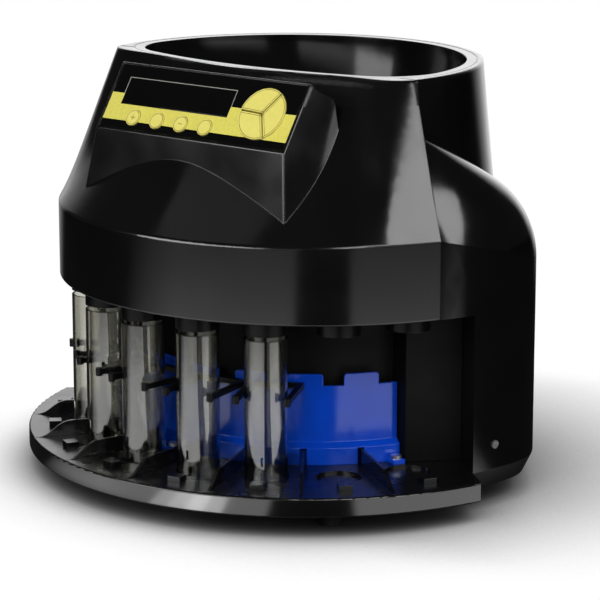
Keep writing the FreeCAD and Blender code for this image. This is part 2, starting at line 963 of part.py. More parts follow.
def make_hopper_bowl():
    lip = prism(rounded_rim(lip_inset + seam), rim_top - lip_thickness, rim_top)
    return lip.fuse(bowl_surface(bowl_wall)).cut(bowl_surface(0.0))


def tray_fin():
    """Thin upright fin between two bays, rising in an S from the rim."""
    outer = tray_radius - tray_edge_round - seam
    rise_end = tray_radius - fin_rise
    top = tray_top + fin_height
    middle = (outer + rise_end) / 2
    poles = [(outer, tray_top), (middle, tray_top), (middle, top), (rise_end, top)]
    curve = Part.BezierCurve()
    curve.setPoles([Vector(across, 0, up) for across, up in poles])
    inner_top = Vector(core_radius, 0, top)
    inner_low = Vector(core_radius, 0, tray_top)
    edges = [
        curve.toShape(),
        Part.makeLine(Vector(rise_end, 0, top), inner_top),
        Part.makeLine(inner_top, inner_low),
        Part.makeLine(inner_low, Vector(outer, 0, tray_top)),
    ]
    face = Part.Face(Part.Wire(edges))
    return moved(face.extrude(Vector(0, fin_thickness, 0)), Vector(0, -fin_thickness / 2, 0))


def foot_spots():
    spots = [polar(foot_circle, angle) for angle in foot_angles]
    for across in (-rear_foot_across, rear_foot_across):
        spots.append(Vector(across, back_y - rear_foot_setback, 0))
    return spots


def make_board_posts():
    posts = []
    across = board_width / 2 - post_margin
    along = board_length / 2 - post_margin
    for side in (-1, 1):
        for x in (-across, across):
            for y in (-along, along):
                centre = Vector(side * board_middle_x + x, board_middle_y + y, 0)
                posts.append(cylinder(post_radius, tray_top, tray_top + post_height, centre))
    return posts


def screw_post():
    """Upright block on the tray behind the screw through the column wall."""
    point, inward = foot_screw_line()
    near = point + inward * (wall + screw_post_gap)
    far = near + inward * screw_post_depth
    aside = Vector(-inward.y, inward.x, 0) * screw_post_width / 2
    points = [near + aside, far + aside, far - aside, near - aside]
    points = [at_level(corner, 0) for corner in points]
    block = polygon_prism(points, tray_top, foot_hole_height + screw_post_spare)
    hole = Part.makeCylinder(housing_screw_radius + running, screw_post_depth, near, inward)
    return block.cut(hole)


def tray_body():
    """Rim band in front and tapered column foot behind, with the plate across both."""
    front = cylinder(tray_radius, foot_height, tray_top).common(bay_space(foot_height, tray_top))
    for level in (foot_height, tray_top):
        front = rounded_arcs(front, tray_radius, level, tray_edge_round)
    low_wire = body_outline(tray_rear_inset)
    low_wire.translate(Vector(0, 0, foot_height))
    high_wire = body_outline()
    high_wire.translate(Vector(0, 0, tray_top))
    rear = Part.makeLoft([low_wire, high_wire], True, True)
    under = tray_top - tray_plate
    hollow_front = cylinder(tray_radius - wall, foot_height, under)
    hollow_front = hollow_front.common(moved(bay_space(foot_height, under), Vector(0, -2 * wall, 0)))
    hollow_rear = prism(body_outline(tray_rear_inset + wall), foot_height, under)
    hollow_rear = hollow_rear.cut(moved(bay_space(foot_height, under), Vector(0, wall, 0)))
    return front.fuse(rear).cut(hollow_front).cut(hollow_rear)


def bay_features(tray):
    """Socket and drain hole in every bay."""
    for bay in range(bay_count):
        middle = polar(tube_circle, bay_angle(bay))
        socket = tube_radius + socket_clearance
        tray = tray.fuse(cylinder(socket + wall, tray_top - socket_depth - wall, tray_top, middle))
        tray = tray.cut(cylinder(socket, tray_top - socket_depth, tray_top, middle))
        hole = polar(tab_hole_circle, bay_angle(bay))
        tray = tray.cut(cylinder(tab_hole_radius, foot_height, tray_top, hole))
    return tray


def guard_tab_spots():
    """Angle and distance, from the tray axis, of the middle of each screw tab."""
    spots = []
    for angle in guard_tab_angles:
        away = polar(1.0, angle)
        along = away.dot(drum_centre)
        distance = along + math.sqrt(along ** 2 - drum_centre_y ** 2 + guard_flange_radius ** 2)
        spots.append((angle, distance + guard_tab_reach / 2))
    return spots


def make_base_tray():
    tray = bay_features(tray_body())
    for spot in foot_spots():
        tray = tray.fuse(cylinder(tray_boss_radius, foot_height, tray_top - tray_plate, spot))
        tray = tray.cut(cylinder(foot_screw_radius + running, foot_height, tray_top - tray_plate, spot))
    for angle, distance in guard_tab_spots():
        hole = cylinder(guard_screw_radius + running, foot_height, tray_top, polar(distance, angle))
        tray = tray.cut(hole)
    return tray


def make_bay_fins():
    clear_of_guard = cylinder(guard_radius + 2 * seam, tray_top, tray_top + fin_height, drum_centre)
    return [turned(tray_fin(), fin_angle(fin)).cut(clear_of_guard) for fin in range(1, bay_count)]


def make_stop_tabs():
    middle = Vector(tab_circle, 0, 0)
    tab = centred_box(tab_length, tab_width, tray_top, tray_top + tab_height, middle)
    return [turned(tab, bay_angle(bay)) for bay in range(bay_count)]


def make_screw_blocks():
    return both_sides(screw_post())


def make_rubber_feet():
    feet = []
    for spot in foot_spots():
        foot = Part.makeCone(foot_bottom_radius, foot_top_radius, foot_height, at_level(spot, 0))
        foot = foot.cut(cylinder(foot_screw_head + seam, 0.0, foot_height - foot_floor, spot))
        feet.append(foot.cut(cylinder(foot_screw_radius + running, 0.0, foot_height, spot)))
    return feet


def make_foot_screws():
    screws = []
    for spot in foot_spots():
        seat = foot_height - foot_floor
        head = cylinder(foot_screw_head, seat - foot_screw_head_height, seat, spot)
        screws.append(head.fuse(cylinder(foot_screw_radius, seat, seat + foot_screw_length, spot)))
    return screws


def bay_direction(bay):
    """Angle and distance of a tube's middle seen from the drum axis."""
    middle = polar(tube_circle, bay_angle(bay))
    return angle_about(drum_centre, middle), (middle - drum_centre).Length


def guard_notch(bay):
    """Square notch in the top of the guard ring with rounded upper corners, facing a bay."""
    angle = bay_direction(bay)[0]
    top = tray_top + guard_height
    low = top - guard_notch_depth
    half = guard_notch_width / 2
    bend = guard_notch_round
    slack = bend * (1 - math.sqrt(0.5))
    side = core_radius

    def spot(across, up):
        return Vector(side, across, up)

    edges = [
        Part.makeLine(spot(-half, low), spot(half, low)),
        Part.makeLine(spot(half, low), spot(half, top - bend)),
        arc(spot(half, top - bend), spot(half + slack, top - slack), spot(half + bend, top)),
        Part.makeLine(spot(half + bend, top), spot(-half - bend, top)),
        arc(spot(-half - bend, top), spot(-half - slack, top - slack), spot(-half, top - bend)),
        Part.makeLine(spot(-half, top - bend), spot(-half, low)),
    ]
    notch = Part.Face(Part.Wire(edges)).extrude(Vector(guard_flange_radius - core_radius, 0, 0))
    return moved(turned(notch, angle), drum_centre)


def guard_flange():
    """Step round the foot of the guard ring, sloped off at its top."""
    straight = tray_top + guard_flange_height - guard_flange_slope
    step = cylinder(guard_flange_radius, tray_top, straight, drum_centre)
    foot = at_level(drum_centre, straight)
    step = step.fuse(Part.makeCone(guard_flange_radius, guard_radius, guard_flange_slope, foot))
    return step.cut(cylinder(guard_radius - guard_wall, tray_top, tray_top + guard_height, drum_centre))


def make_guard_ring():
    top = tray_top + guard_height
    inner = guard_radius - guard_wall
    ring = tube(guard_radius, inner, tray_top, top, drum_centre)
    ring = ring.fuse(guard_flange())
    end = -guard_end_angle - math.degrees(guard_end_gap / guard_radius)
    ring = ring.common(sector(guard_flange_radius + wall, -180 - end, end, tray_top, top, drum_centre))
    for bay in range(bay_count):
        ring = ring.cut(guard_notch(bay))
    for fin in range(1, bay_count):
        slot_top = tray_top + fin_height + guard_slot_spare
        half = guard_fin_slot / 2
        slot = box(Vector(0, -half, tray_top), Vector(tray_radius, half, slot_top))
        slot = turned(slot, fin_angle(fin)).cut(cylinder(guard_radius, tray_top, top, drum_centre))
        ring = ring.cut(slot)
    for angle, distance in guard_tab_spots():
        ring = ring.fuse(guard_tab(angle, distance))
    return ring


def guard_tab(angle, distance):
    """Screw tab that lies on the tray in front of the guard ring's flange."""
    outer = distance + guard_tab_reach / 2
    low = Vector(core_radius, -guard_tab_width / 2, tray_top)
    high = Vector(outer, guard_tab_width / 2, tray_top + guard_tab_thickness)
    tab = turned(box(low, high), angle)
    tab = tab.cut(cylinder(guard_radius, tray_top, high.z, drum_centre))
    return tab.cut(cylinder(guard_screw_radius + running, tray_top, high.z, polar(distance, angle)))


def make_guard_ring_screws():
    screws = []
    for angle, distance in guard_tab_spots():
        spot = polar(distance, angle)
        seat = tray_top + guard_tab_thickness
        head = cylinder(guard_screw_head_radius, seat, seat + guard_screw_head_height, spot)
        screws.append(head.fuse(cylinder(guard_screw_radius, seat - guard_screw_length, seat, spot)))
    return screws


def tube_fork(bay):
    """Holder hooked into a notch of the guard ring, with a straight prong on each side of the tube."""
    angle, distance = bay_direction(bay)
    low = tray_top + guard_height - guard_notch_depth
    high = low + fork_prong_height
    hook_outer = guard_radius - guard_wall
    hook_inner = hook_outer - fork_hook_thickness
    half = fork_root_width / 2
    cross = guard_flange_radius + fork_cross_gap
    aside = tube_radius + fork_clearance + fork_tip_radius
    fork = box(Vector(hook_inner, -half, low), Vector(cross, half, high))
    spread = aside + fork_prong_width / 2
    fork = fork.fuse(box(Vector(cross - fork_prong_width, -spread, low), Vector(cross, spread, high)))
    tip_low = (low + high - fork_tip_height) / 2
    for side in (-aside, aside):
        tip = Vector(distance + fork_reach, side, 0)
        near = Vector(cross - fork_prong_width, side - fork_prong_width / 2, low)
        fork = fork.fuse(box(near, Vector(tip.x, side + fork_prong_width / 2, high)))
        fork = fork.fuse(cylinder(fork_tip_radius, tip_low, tip_low + fork_tip_height, tip))
    hook = box(Vector(hook_inner - half, -half, low - fork_hook), Vector(hook_outer + half, half, high))
    hook = hook.common(tube(hook_outer, hook_inner, low - fork_hook, high))
    return moved(turned(fork.fuse(hook), angle), drum_centre)


def make_tube_forks():
    return [tube_fork(bay) for bay in tubed_bays]


def make_coin_tube(bay):
    middle = polar(tube_circle, bay_angle(bay))
    body = cylinder(tube_radius, tube_low, tube_high, middle)
    body = body.cut(cylinder(tube_bore, tube_low + tube_wall, tube_high, middle))
    slot_low = tube_low + tube_slot_bottom
    slot = box(
        Vector(tube_circle, -tube_slot_width / 2, slot_low),
        Vector(tube_circle + 2 * tube_radius, tube_slot_width / 2, slot_low + tube_slot_height),
    )
    return body.cut(turned(slot, bay_angle(bay)))


def make_outlet_plate():
    plate = prism(body_outline(wall + outlet_gap), outlet_low, outlet_high)
    behind = box(Vector(-reach, outlet_rear_start, outlet_low), Vector(reach, reach, outlet_high))
    plate = plate.cut(behind)
    plate = plate.fuse(prism(body_outline(wall + outlet_rear_gap), outlet_low, outlet_high))
    for bay in range(bay_count):
        middle = polar(tube_circle, bay_angle(bay))
        plate = plate.fuse(cylinder(spigot_bore + spigot_wall, spigot_low, outlet_low, middle))
        plate = plate.cut(cylinder(spigot_bore, spigot_low, outlet_high, middle))
    boss_low = outlet_high - bearing_width - bearing_span
    plate = plate.fuse(cylinder(bearing_radius + bearing_boss_wall, boss_low, outlet_high, drum_centre))
    plate = plate.cut(cylinder(bearing_radius, outlet_high - bearing_width, outlet_high, drum_centre))
    plate = plate.cut(cylinder(bearing_radius, boss_low, boss_low + bearing_width, drum_centre))
    return plate.cut(cylinder(bearing_radius - bearing_boss_wall / 2, boss_low, outlet_high, drum_centre))


def plank(start, end, thickness, low, high):
    """An upright wall along a line, its thickness on the left of the way from start to end."""
    way = (end - start).normalize()
    aside = Vector(-way.y, way.x, 0) * thickness
    return polygon_prism([start, end, end + aside, start + aside], low, high)


def make_core_shell():
    core_angle = -guard_end_angle
    core_end = polar(core_radius, core_angle, 0, drum_centre)
    shell = tube(core_radius, core_radius - core_wall, tray_top, outlet_low, drum_centre)
    lap = core_angle + math.degrees(core_wall / core_radius)
    shell = shell.common(sector(core_radius + wall, -180 - lap, lap, tray_top, outlet_low, drum_centre))
    inward = (drum_centre - core_end).normalize()
    side = plank(core_end + inward * core_wall, strip_return, core_wall, tray_top, outlet_low)
    side = side.fuse(plank(strip_return, strip_inner, core_wall, tray_top, outlet_low))
    for wing in both_sides(side):
        shell = shell.fuse(wing)
    return shell


def make_feed_disc():
    disc = cylinder(disc_radius, disc_low, sorting_high, drum_centre)
    for index in range(disc_rib_count):
        low = Vector(disc_rib_start, -disc_rib_width / 2, sorting_high)
        high = Vector(disc_radius - disc_rib_margin, disc_rib_width / 2, sorting_high + disc_rib_height)
        rib = turned(box(low, high), 360 / disc_rib_count * index)
        disc = disc.fuse(moved(rib, drum_centre))
    return disc.cut(cylinder(shaft_radius, disc_low, sorting_high, drum_centre))


def make_disc_pad():
    return tube(pad_radius, shaft_radius, sorting_high, sorting_high + pad_thickness, drum_centre)


def make_disc_nut():
    low = sorting_high + pad_thickness
    step = 360 / nut_sides
    across_corners = nut_flats / 2 / math.cos(math.radians(step / 2))
    corners = [polar(across_corners, step * index, 0, drum_centre) for index in range(nut_sides)]
    nut = polygon_prism(corners, low, low + nut_height)
    return nut.cut(cylinder(shaft_radius, low, low + nut_height, drum_centre))


def make_drive_shaft():
    low = gear_low - shaft_spare
    high = sorting_high + pad_thickness + nut_height + shaft_spare
    shaft = cylinder(shaft_radius, low, high, drum_centre)
    return shaft.fuse(cylinder(shaft_shoulder_radius, outlet_high + seam, disc_low, drum_centre))


def bearing(low):
    return tube(bearing_radius, shaft_radius + running, low, low + bearing_width, drum_centre)


def make_upper_bearing():
    return bearing(outlet_high - bearing_width)


def make_lower_bearing():
    return bearing(outlet_high - bearing_width - bearing_span)


def chute_cutter(bay):
    """Way through the sorting ring's wall for a chute."""
    angle = bay_direction(bay)[0]
    half = chute_width / 2 + chute_wall + seam
    low = Vector(disc_radius, -half, outlet_high)
    high = Vector(sorting_ring_radius + wall, half, sorting_low)
    return moved(turned(box(low, high), angle), drum_centre)


def window_half(bay):
    """Half the length of a coin window, a little more in each bay."""
    return (sorting_window_start + sorting_window_step * bay) / 2


def window_end(bay, side):
    """Direction of one end of a coin window at its inner edge."""
    return bay_direction(bay)[0] + side * math.degrees(math.atan2(window_half(bay), window_near))


def window_web(bay):
    """Web that stays between a coin window and the next one."""
    angle = (window_end(bay, 1) + window_end(bay + 1, -1)) / 2
    low = Vector(disc_radius, -sorting_web / 2, sorting_low)
    high = Vector(sorting_ring_radius, sorting_web / 2, sorting_high)
    return moved(turned(box(low, high), angle), drum_centre)


def sorting_window(bay):
    """Coin window in the ring."""
    half = window_half(bay)
    low = Vector(window_near, -half, sorting_low)
    high = Vector(window_near + sorting_window_depth, half, sorting_high)
    return moved(turned(box(low, high), bay_direction(bay)[0]), drum_centre)


def make_sorting_ring():
    inner = disc_radius + sorting_ring_gap
    ring = tube(sorting_ring_radius, inner, sorting_low, sorting_high, drum_centre)
    rail_inner = sorting_ring_radius - sorting_rail_width
    rail_top = sorting_high + sorting_rail_height
    ring = ring.fuse(tube(sorting_ring_radius, rail_inner, sorting_high, rail_top, drum_centre))
    legs = tube(sorting_ring_radius, sorting_ring_radius - ring_wall, outlet_high, sorting_low, drum_centre)
    for bay in range(bay_count):
        legs = legs.cut(chute_cutter(bay))
    ring = ring.fuse(legs)
    webs = [window_web(bay) for bay in range(bay_count - 1)]
    for bay in range(bay_count):
        ring = ring.cut(sorting_window(bay).cut(webs))
    return ring


def side_profile(points, half):
    """A shape given by its side view (outwards, up), spread evenly to both sides."""
    outline = [Vector(across, -half, up) for across, up in points]
    face = Part.Face(Part.makePolygon(outline + [outline[0]]))
    return face.extrude(Vector(0, 2 * half, 0))


def coin_chute(bay):
    """Sloping trough from a coin window to the spigot of the bay."""
    angle, distance = bay_direction(bay)
    end = distance - chute_overhang
    high = sorting_low - chute_start_drop
    low = outlet_high + chute_end_rise
    half = chute_width / 2
    foot = [(end - chute_foot, outlet_high), (end, outlet_high)]
    outer = [(chute_start, high - chute_wall)] + foot
    outer += [(end, low + chute_depth), (chute_start, high + chute_depth)]
    trough = side_profile(outer, half + chute_wall)
    inner = [(chute_start - wall, high), (chute_start, high), (end, low), (end + wall, low)]
    inner += [(end + wall, rim_top), (chute_start - wall, rim_top)]
    trough = trough.cut(side_profile(inner, half))
    return moved(turned(trough, angle), drum_centre)


def make_coin_chutes():
    return [coin_chute(bay) for bay in range(bay_count)]


def coin_sensor(bay):
    """Sensor on the outlet plate, against the side of a chute that faces the front."""
    angle, distance = bay_direction(bay)
    side = 1 if bay < bay_count / 2 else -1
    near = chute_width / 2 + chute_wall
    middle = Vector(distance - chute_overhang - sensor_setback, side * (near + sensor_size / 2), 0)
    body = centred_box(sensor_size, sensor_size, outlet_high, outlet_high + sensor_height, middle)
    return moved(turned(body, angle), drum_centre)


def make_coin_sensors():
    return [coin_sensor(bay) for bay in range(bay_count)]


def gear_wire(teeth, first_angle, centre):
    """Outline of a spur gear with straight-sided teeth, one tooth at the first angle."""
    pitch_radius = gear_module * teeth / 2
    root = pitch_radius - tooth_dedendum * gear_module
    tip = pitch_radius + tooth_addendum * gear_module
    step = 360 / teeth
    points = []
    for index in range(teeth):
        middle = first_angle + index * step
        points.append(polar(root, middle - tooth_root_share * step / 2, 0, centre))
        points.append(polar(tip, middle - tooth_tip_share * step / 2, 0, centre))
        points.append(polar(tip, middle + tooth_tip_share * step / 2, 0, centre))
        points.append(polar(root, middle + tooth_root_share * step / 2, 0, centre))
    return Part.makePolygon(points + [points[0]])


def make_drive_gear():
    high = gear_low + gear_thickness
    gear = prism(gear_wire(gear_teeth, -90.0, drum_centre), gear_low, high)
    rim_inner = gear_pitch_radius - tooth_dedendum * gear_module - gear_rim
    gear = gear.cut(tube(rim_inner, gear_hub_radius, gear_low + gear_web, high, drum_centre))
    return gear.cut(cylinder(shaft_radius, gear_low, high, drum_centre))


def motor_centre():
    return Vector(0, motor_y, 0)


def make_motor_pinion():
    middle = motor_centre()
    low = gear_low - (pinion_thickness - gear_thickness) / 2 + seam
    half_step = 180 / pinion_teeth
    pinion = prism(gear_wire(pinion_teeth, 90.0 + half_step, middle), low, low + pinion_thickness)
    shaft_low = motor_low + motor_height - motor_shaft_depth + 2 * seam
    return pinion.fuse(cylinder(motor_shaft_radius, shaft_low, low, middle))


def make_drive_motor():
    middle = motor_centre()
    top = motor_low + motor_height
    motor = cylinder(motor_radius, motor_low, top, middle)
    motor = motor.cut(cylinder(motor_shaft_radius + running, top - motor_shaft_depth, top, middle))
    for x in (-motor_screw_across, motor_screw_across):
        spot = middle + Vector(x, 0, 0)
        hole_low = top - motor_screw_length
        motor = motor.cut(cylinder(motor_screw_radius + running, hole_low, top, spot))
    return motor


def bracket_foot_spots():
    spots = []
    for x in (-1, 1):
        for y in (-1, 1):
            across = x * (bracket_half_width + bracket_foot / 2)
            spots.append(Vector(across, motor_y + y * bracket_foot_screw, 0))
    return spots


def make_motor_bracket():
    middle = motor_centre()
    low = motor_low + motor_height
    high = low + bracket_thickness
    depth = 2 * bracket_half_depth
    plate = centred_box(2 * bracket_half_width, depth, tray_top, high, middle)
    plate = plate.cut(centred_box(2 * (bracket_half_width - bracket_thickness), depth, tray_top, low, middle))
    foot_width = 2 * (bracket_half_width + bracket_foot)
    foot = centred_box(foot_width, depth, tray_top, tray_top + bracket_thickness, middle)
    foot = foot.cut(centred_box(2 * (bracket_half_width - bracket_thickness), depth, tray_top, low, middle))
    plate = plate.fuse(foot)
    plate = plate.cut(cylinder(motor_boss_radius, low, high, middle))
    for x in (-motor_screw_across, motor_screw_across):
        plate = plate.cut(cylinder(motor_screw_radius + running, low, high, middle + Vector(x, 0, 0)))
    for spot in bracket_foot_spots():
        plate = plate.cut(cylinder(motor_screw_radius + running, tray_top, low, spot))
    return plate


def small_screw(seat, length, spot):
    head = cylinder(motor_screw_head, seat, seat + motor_screw_radius, spot)
    return head.fuse(cylinder(motor_screw_radius, seat - length, seat, spot))


def make_motor_screws():
    seat = motor_low + motor_height + bracket_thickness
    middle = motor_centre()
    screws = []
    for x in (-motor_screw_across, motor_screw_across):
        screws.append(small_screw(seat, motor_screw_length, middle + Vector(x, 0, 0)))
    for spot in bracket_foot_spots():
        screws.append(small_screw(tray_top + bracket_thickness, bracket_thickness, spot))
    return screws


def circuit_board(side):
    """Bare board on its four posts, on one side of the machine."""
    low = tray_top + post_height
    middle = Vector(side * board_middle_x, board_middle_y, 0)
    top = low + board_thickness
    return centred_box(board_width, board_length, low, top, middle), middle, top


def make_control_board():
    board, middle, top = circuit_board(1)
    for y in (-chip_size, chip_size):
        chip = centred_box(chip_size, chip_size, top, top + board_thickness, middle + Vector(0, y, 0))
        board = board.fuse(chip)
    edge = middle + Vector(board_width / 2 - connector_width, 0, 0)
    return board.fuse(centred_box(connector_width, connector_length, top, top + connector_height, edge))


def make_power_board():
    board, middle, top = circuit_board(-1)
    corner = Vector(-board_width / 2 + 2 * capacitor_radius, -board_length / 2 + 2 * capacitor_radius, 0)
    board = board.fuse(cylinder(capacitor_radius, top, top + capacitor_height, middle + corner))
    edge = middle + Vector(0, board_length / 2 - connector_width, 0)
    return board.fuse(centred_box(connector_length, connector_width, top, top + connector_height, edge))


def make_transformer():
    board, middle, top = circuit_board(-1)
    core = centred_box(transformer_width, transformer_length, top, top + transformer_height, middle)
    rim = (transformer_height - 2 * transformer_winding) / 4
    low = top + transformer_winding + rim
    high = top + transformer_height - transformer_winding - rim
    width = transformer_width + 2 * transformer_winding
    length = transformer_length - 4 * transformer_winding
    return core.fuse(centred_box(width, length, low, high, middle))


def make_panel_overlay():
    margin = pocket_margin + seam / 2
    low = Vector(-panel_half_width + margin, margin, -pocket_depth)
    high = Vector(panel_half_width - margin, panel_length - margin, overlay_thickness - pocket_depth)
    return on_panel(box(low, high).cut(panel_openings(-pocket_depth, wall)))


def make_display_window():
    gap = seam / 2
    face = overlay_thickness - pocket_depth
    pane = box(
        Vector(display_left + gap, display_low + gap, -wall),
        Vector(display_right - gap, display_high - gap, face),
    )
    rim = box(
        Vector(display_left - window_flange, display_low - window_flange, -wall - window_thickness),
        Vector(display_right + window_flange, display_high + window_flange, -wall),
    )
    return on_panel(pane.fuse(rim))


def make_display_module():
    low = Vector(display_left + module_margin, display_low + module_margin, board_level)
    high = Vector(display_right - module_margin, display_high - module_margin, -wall - window_thickness)
    return on_panel(box(low, high))


def make_display_board():
    low = Vector(-display_board_width / 2, display_board_low, board_level - board_thickness)
    high = Vector(display_board_width / 2, display_board_high, board_level)
    return on_panel(box(low, high))


def switch_spots():
    spots = [Vector(across, up, 0) for across, up in key_spots()]
    for index in range(len(sector_split_angles)):
        spots.append(sector_middle(index))
    return spots


def make_key_switches():
    switches = []
    for spot in switch_spots():
        top = board_level + switch_body
        body = centred_box(switch_side, switch_side, board_level, top, spot)
        switches.append(on_panel(body.fuse(cylinder(plunger_radius, top, top + plunger_height, spot))))
    return switches


def key_stem(spot):
    """Stem under a key, which stops just short of its switch at the end of the stroke."""
    low = board_level + switch_body + plunger_height + key_travel + stem_spare
    return cylinder(stem_radius, low, -wall - seam, spot)


def make_round_button(index):
    across, up = key_spots()[index]
    spot = Vector(across, up, 0)
    flange_top = -wall - seam
    wide = button_radius + key_gap + key_flange_width
    flange = cylinder(wide, flange_top - key_flange_thickness, flange_top, spot)
    cap = cylinder(button_radius, flange_top, key_proud, spot)
    return on_panel(flange.fuse(cap).fuse(key_stem(spot)))


def make_sector_key(index):
    flange_top = -wall - seam
    wide = sector_radius + key_gap + key_flange_width
    flange = sector_plate(index, wide, sector_split_gap, flange_top - key_flange_thickness, flange_top)
    cap = sector_plate(index, sector_radius, sector_split_gap, flange_top, key_proud)
    return on_panel(flange.fuse(cap).fuse(key_stem(sector_middle(index))))


def make_power_inlet():
    middle = inlet_middle()
    body = back_box(middle, inlet_width, inlet_tall, inlet_depth, 0.0)
    rim_width = inlet_width + 2 * inlet_flange
    rim_tall = inlet_tall + 2 * inlet_flange
    flange = back_box(middle, rim_width, rim_tall, 0.0, inlet_flange_thickness)
    socket_width = inlet_width - 2 * inlet_wall
    socket_tall = inlet_tall - 2 * inlet_wall
    return body.fuse(flange).cut(back_box(middle, socket_width, socket_tall, inlet_socket_depth, wall))


def make_inlet_pins():
    middle = inlet_middle()
    pins = []
    for step in (-1, 0, 1):
        rise = inlet_pin_rise if step == 0 else -inlet_pin_rise
        start = middle + Vector(step * inlet_pin_pitch, -inlet_socket_depth, rise)
        pins.append(Part.makeCylinder(inlet_pin_radius, inlet_pin_length, start, Vector(0, 1, 0)))
    return pins


def rocker_pivot():
    return rocker_middle() + Vector(0, -rocker_wall, 0)


def rocker_bar(half, radius):
    """A round bar on the rocker's hinge line."""
    return Part.makeCylinder(radius, 2 * half, rocker_pivot() - Vector(half, 0, 0), Vector(1, 0, 0))


def make_rocker_frame():
    middle = rocker_middle()
    body = back_box(middle, rocker_width, rocker_tall, rocker_depth, 0.0)
    rim_width = rocker_width + 2 * rocker_flange
    rim_tall = rocker_tall + 2 * rocker_flange
    body = body.fuse(back_box(middle, rim_width, rim_tall, 0.0, rocker_flange / 2))
    inner_width = rocker_width - 2 * rocker_wall
    inner_tall = rocker_tall - 2 * rocker_wall
    body = body.cut(back_box(middle, inner_width, inner_tall, rocker_depth - rocker_wall, wall))
    reach_in = inner_width / 2 - rocker_gap + rocker_pin_length
    return body.cut(rocker_bar(reach_in + running, rocker_pin_radius + running))


def make_power_rocker():
    half_tall = rocker_tall / 2 - rocker_wall - rocker_gap
    half_width = rocker_width / 2 - rocker_wall - rocker_gap
    lift = half_tall * math.tan(math.radians(rocker_tilt))
    pivot = rocker_pivot()
    shape = [(-half_tall, lift), (0.0, 0.0), (half_tall, lift)]
    shape += [(half_tall - rocker_wall, -rocker_body), (rocker_wall - half_tall, -rocker_body)]
    outline = [pivot + Vector(-half_width, out, up) for up, out in shape]
    bar = Part.Face(Part.makePolygon(outline + [outline[0]])).extrude(Vector(2 * half_width, 0, 0))
    bar = bar.fuse(rocker_bar(half_width + rocker_pin_length, rocker_pin_radius))
    bar.rotate(pivot, Vector(1, 0, 0), rocker_tilt)
    return bar


def make_housing_screws():
    point, inward = foot_screw_line()
    seat = point + inward * spot_face_depth
    head = Part.makeCylinder(housing_screw_head_radius, housing_screw_head_height, seat, -inward)
    shank = Part.makeCylinder(housing_screw_radius, housing_screw_length, seat, inward)
    return both_sides(head.fuse(shank))


pieces = {
    "base_tray": make_base_tray,
    "bay_fins": make_bay_fins,
    "stop_tabs": make_stop_tabs,
    "board_posts": make_board_posts,
    "screw_blocks": make_screw_blocks,
    "rubber_feet": make_rubber_feet,
    "foot_screws": make_foot_screws,
    "main_housing": make_main_housing,
    "housing_screws": make_housing_screws,
    "hopper_tower": make_hopper_tower,
    "hopper_bowl": make_hopper_bowl,
    "guard_ring": make_guard_ring,
    "guard_ring_screws": make_guard_ring_screws,
    "tube_forks": make_tube_forks,
    "outlet_plate": make_outlet_plate,
    "core_shell": make_core_shell,
    "panel_overlay": make_panel_overlay,
    "display_window": make_display_window,
    "display_module": make_display_module,
    "display_board": make_display_board,
    "key_switches": make_key_switches,
    "feed_disc": make_feed_disc,
    "disc_pad": make_disc_pad,
    "disc_nut": make_disc_nut,
    "drive_shaft": make_drive_shaft,
    "upper_bearing": make_upper_bearing,
    "lower_bearing": make_lower_bearing,
    "sorting_ring": make_sorting_ring,
    "coin_chutes": make_coin_chutes,
    "coin_sensors": make_coin_sensors,
    "drive_gear": make_drive_gear,
    "motor_pinion": make_motor_pinion,
    "drive_motor": make_drive_motor,
    "motor_bracket": make_motor_bracket,
    "motor_screws": make_motor_screws,
    "control_board": make_control_board,
    "power_board": make_power_board,
    "transformer": make_transformer,
    "power_inlet": make_power_inlet,
    "inlet_pins": make_inlet_pins,
    "rocker_frame": make_rocker_frame,
    "power_rocker": make_power_rocker,
}
shapes = {node: make() for node, make in pieces.items()}
for number, bay in enumerate(tubed_bays):
    shapes["coin_tube_" + str(number + 1)] = make_coin_tube(bay)
for number in range(button_count):
    shapes["round_button_" + str(number + 1)] = make_round_button(number)
for number in range(len(sector_split_angles)):
    shapes["sector_key_" + str(number + 1)] = make_sector_key(number)

os.makedirs("parts", exist_ok=True)
to_origin = Vector(0, axis_y, 0)
for node, shape in shapes.items():
    if isinstance(shape, list):
        shape = Part.makeCompound(shape)
    shape.translate(to_origin)
    shape.exportStep("parts/" + node + ".step")
    print(node, shape.isValid(), len(shape.Solids), round(shape.Volume))
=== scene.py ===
import json
import math

import bpy
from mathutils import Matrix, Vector

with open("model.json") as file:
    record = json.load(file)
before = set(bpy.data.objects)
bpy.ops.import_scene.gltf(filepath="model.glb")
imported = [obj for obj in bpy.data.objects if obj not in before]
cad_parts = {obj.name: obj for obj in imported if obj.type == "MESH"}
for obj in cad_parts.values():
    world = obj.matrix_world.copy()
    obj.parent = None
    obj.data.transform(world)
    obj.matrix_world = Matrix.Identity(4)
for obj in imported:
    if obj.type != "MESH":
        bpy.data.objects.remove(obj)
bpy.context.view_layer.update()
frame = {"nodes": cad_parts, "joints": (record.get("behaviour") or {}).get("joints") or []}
nodes = frame["nodes"]
joints = {joint["name"]: joint for joint in frame["joints"]}

# Units and directions
MM = 0.001
sideways = Vector((1.0, 0.0, 0.0))
backward = Vector((0.0, 1.0, 0.0))
upward = Vector((0.0, 0.0, 1.0))

# Camera, at the photograph's view
camera_azimuth = 39.83
camera_elevation = 13.0
camera_distance = 1.7786
camera_target = Vector((-0.0033, 0.0154, 0.1043))
camera_lens = 162.13
camera_sensor = 36.0
camera_reach = 50.0

# Azimuths are in degrees from the front towards +X, over the full turn around this middle one
# A band is its first and last azimuth and then the softness of its first and last end
middle_azimuth = 110.0
quarter_turn = 90.0

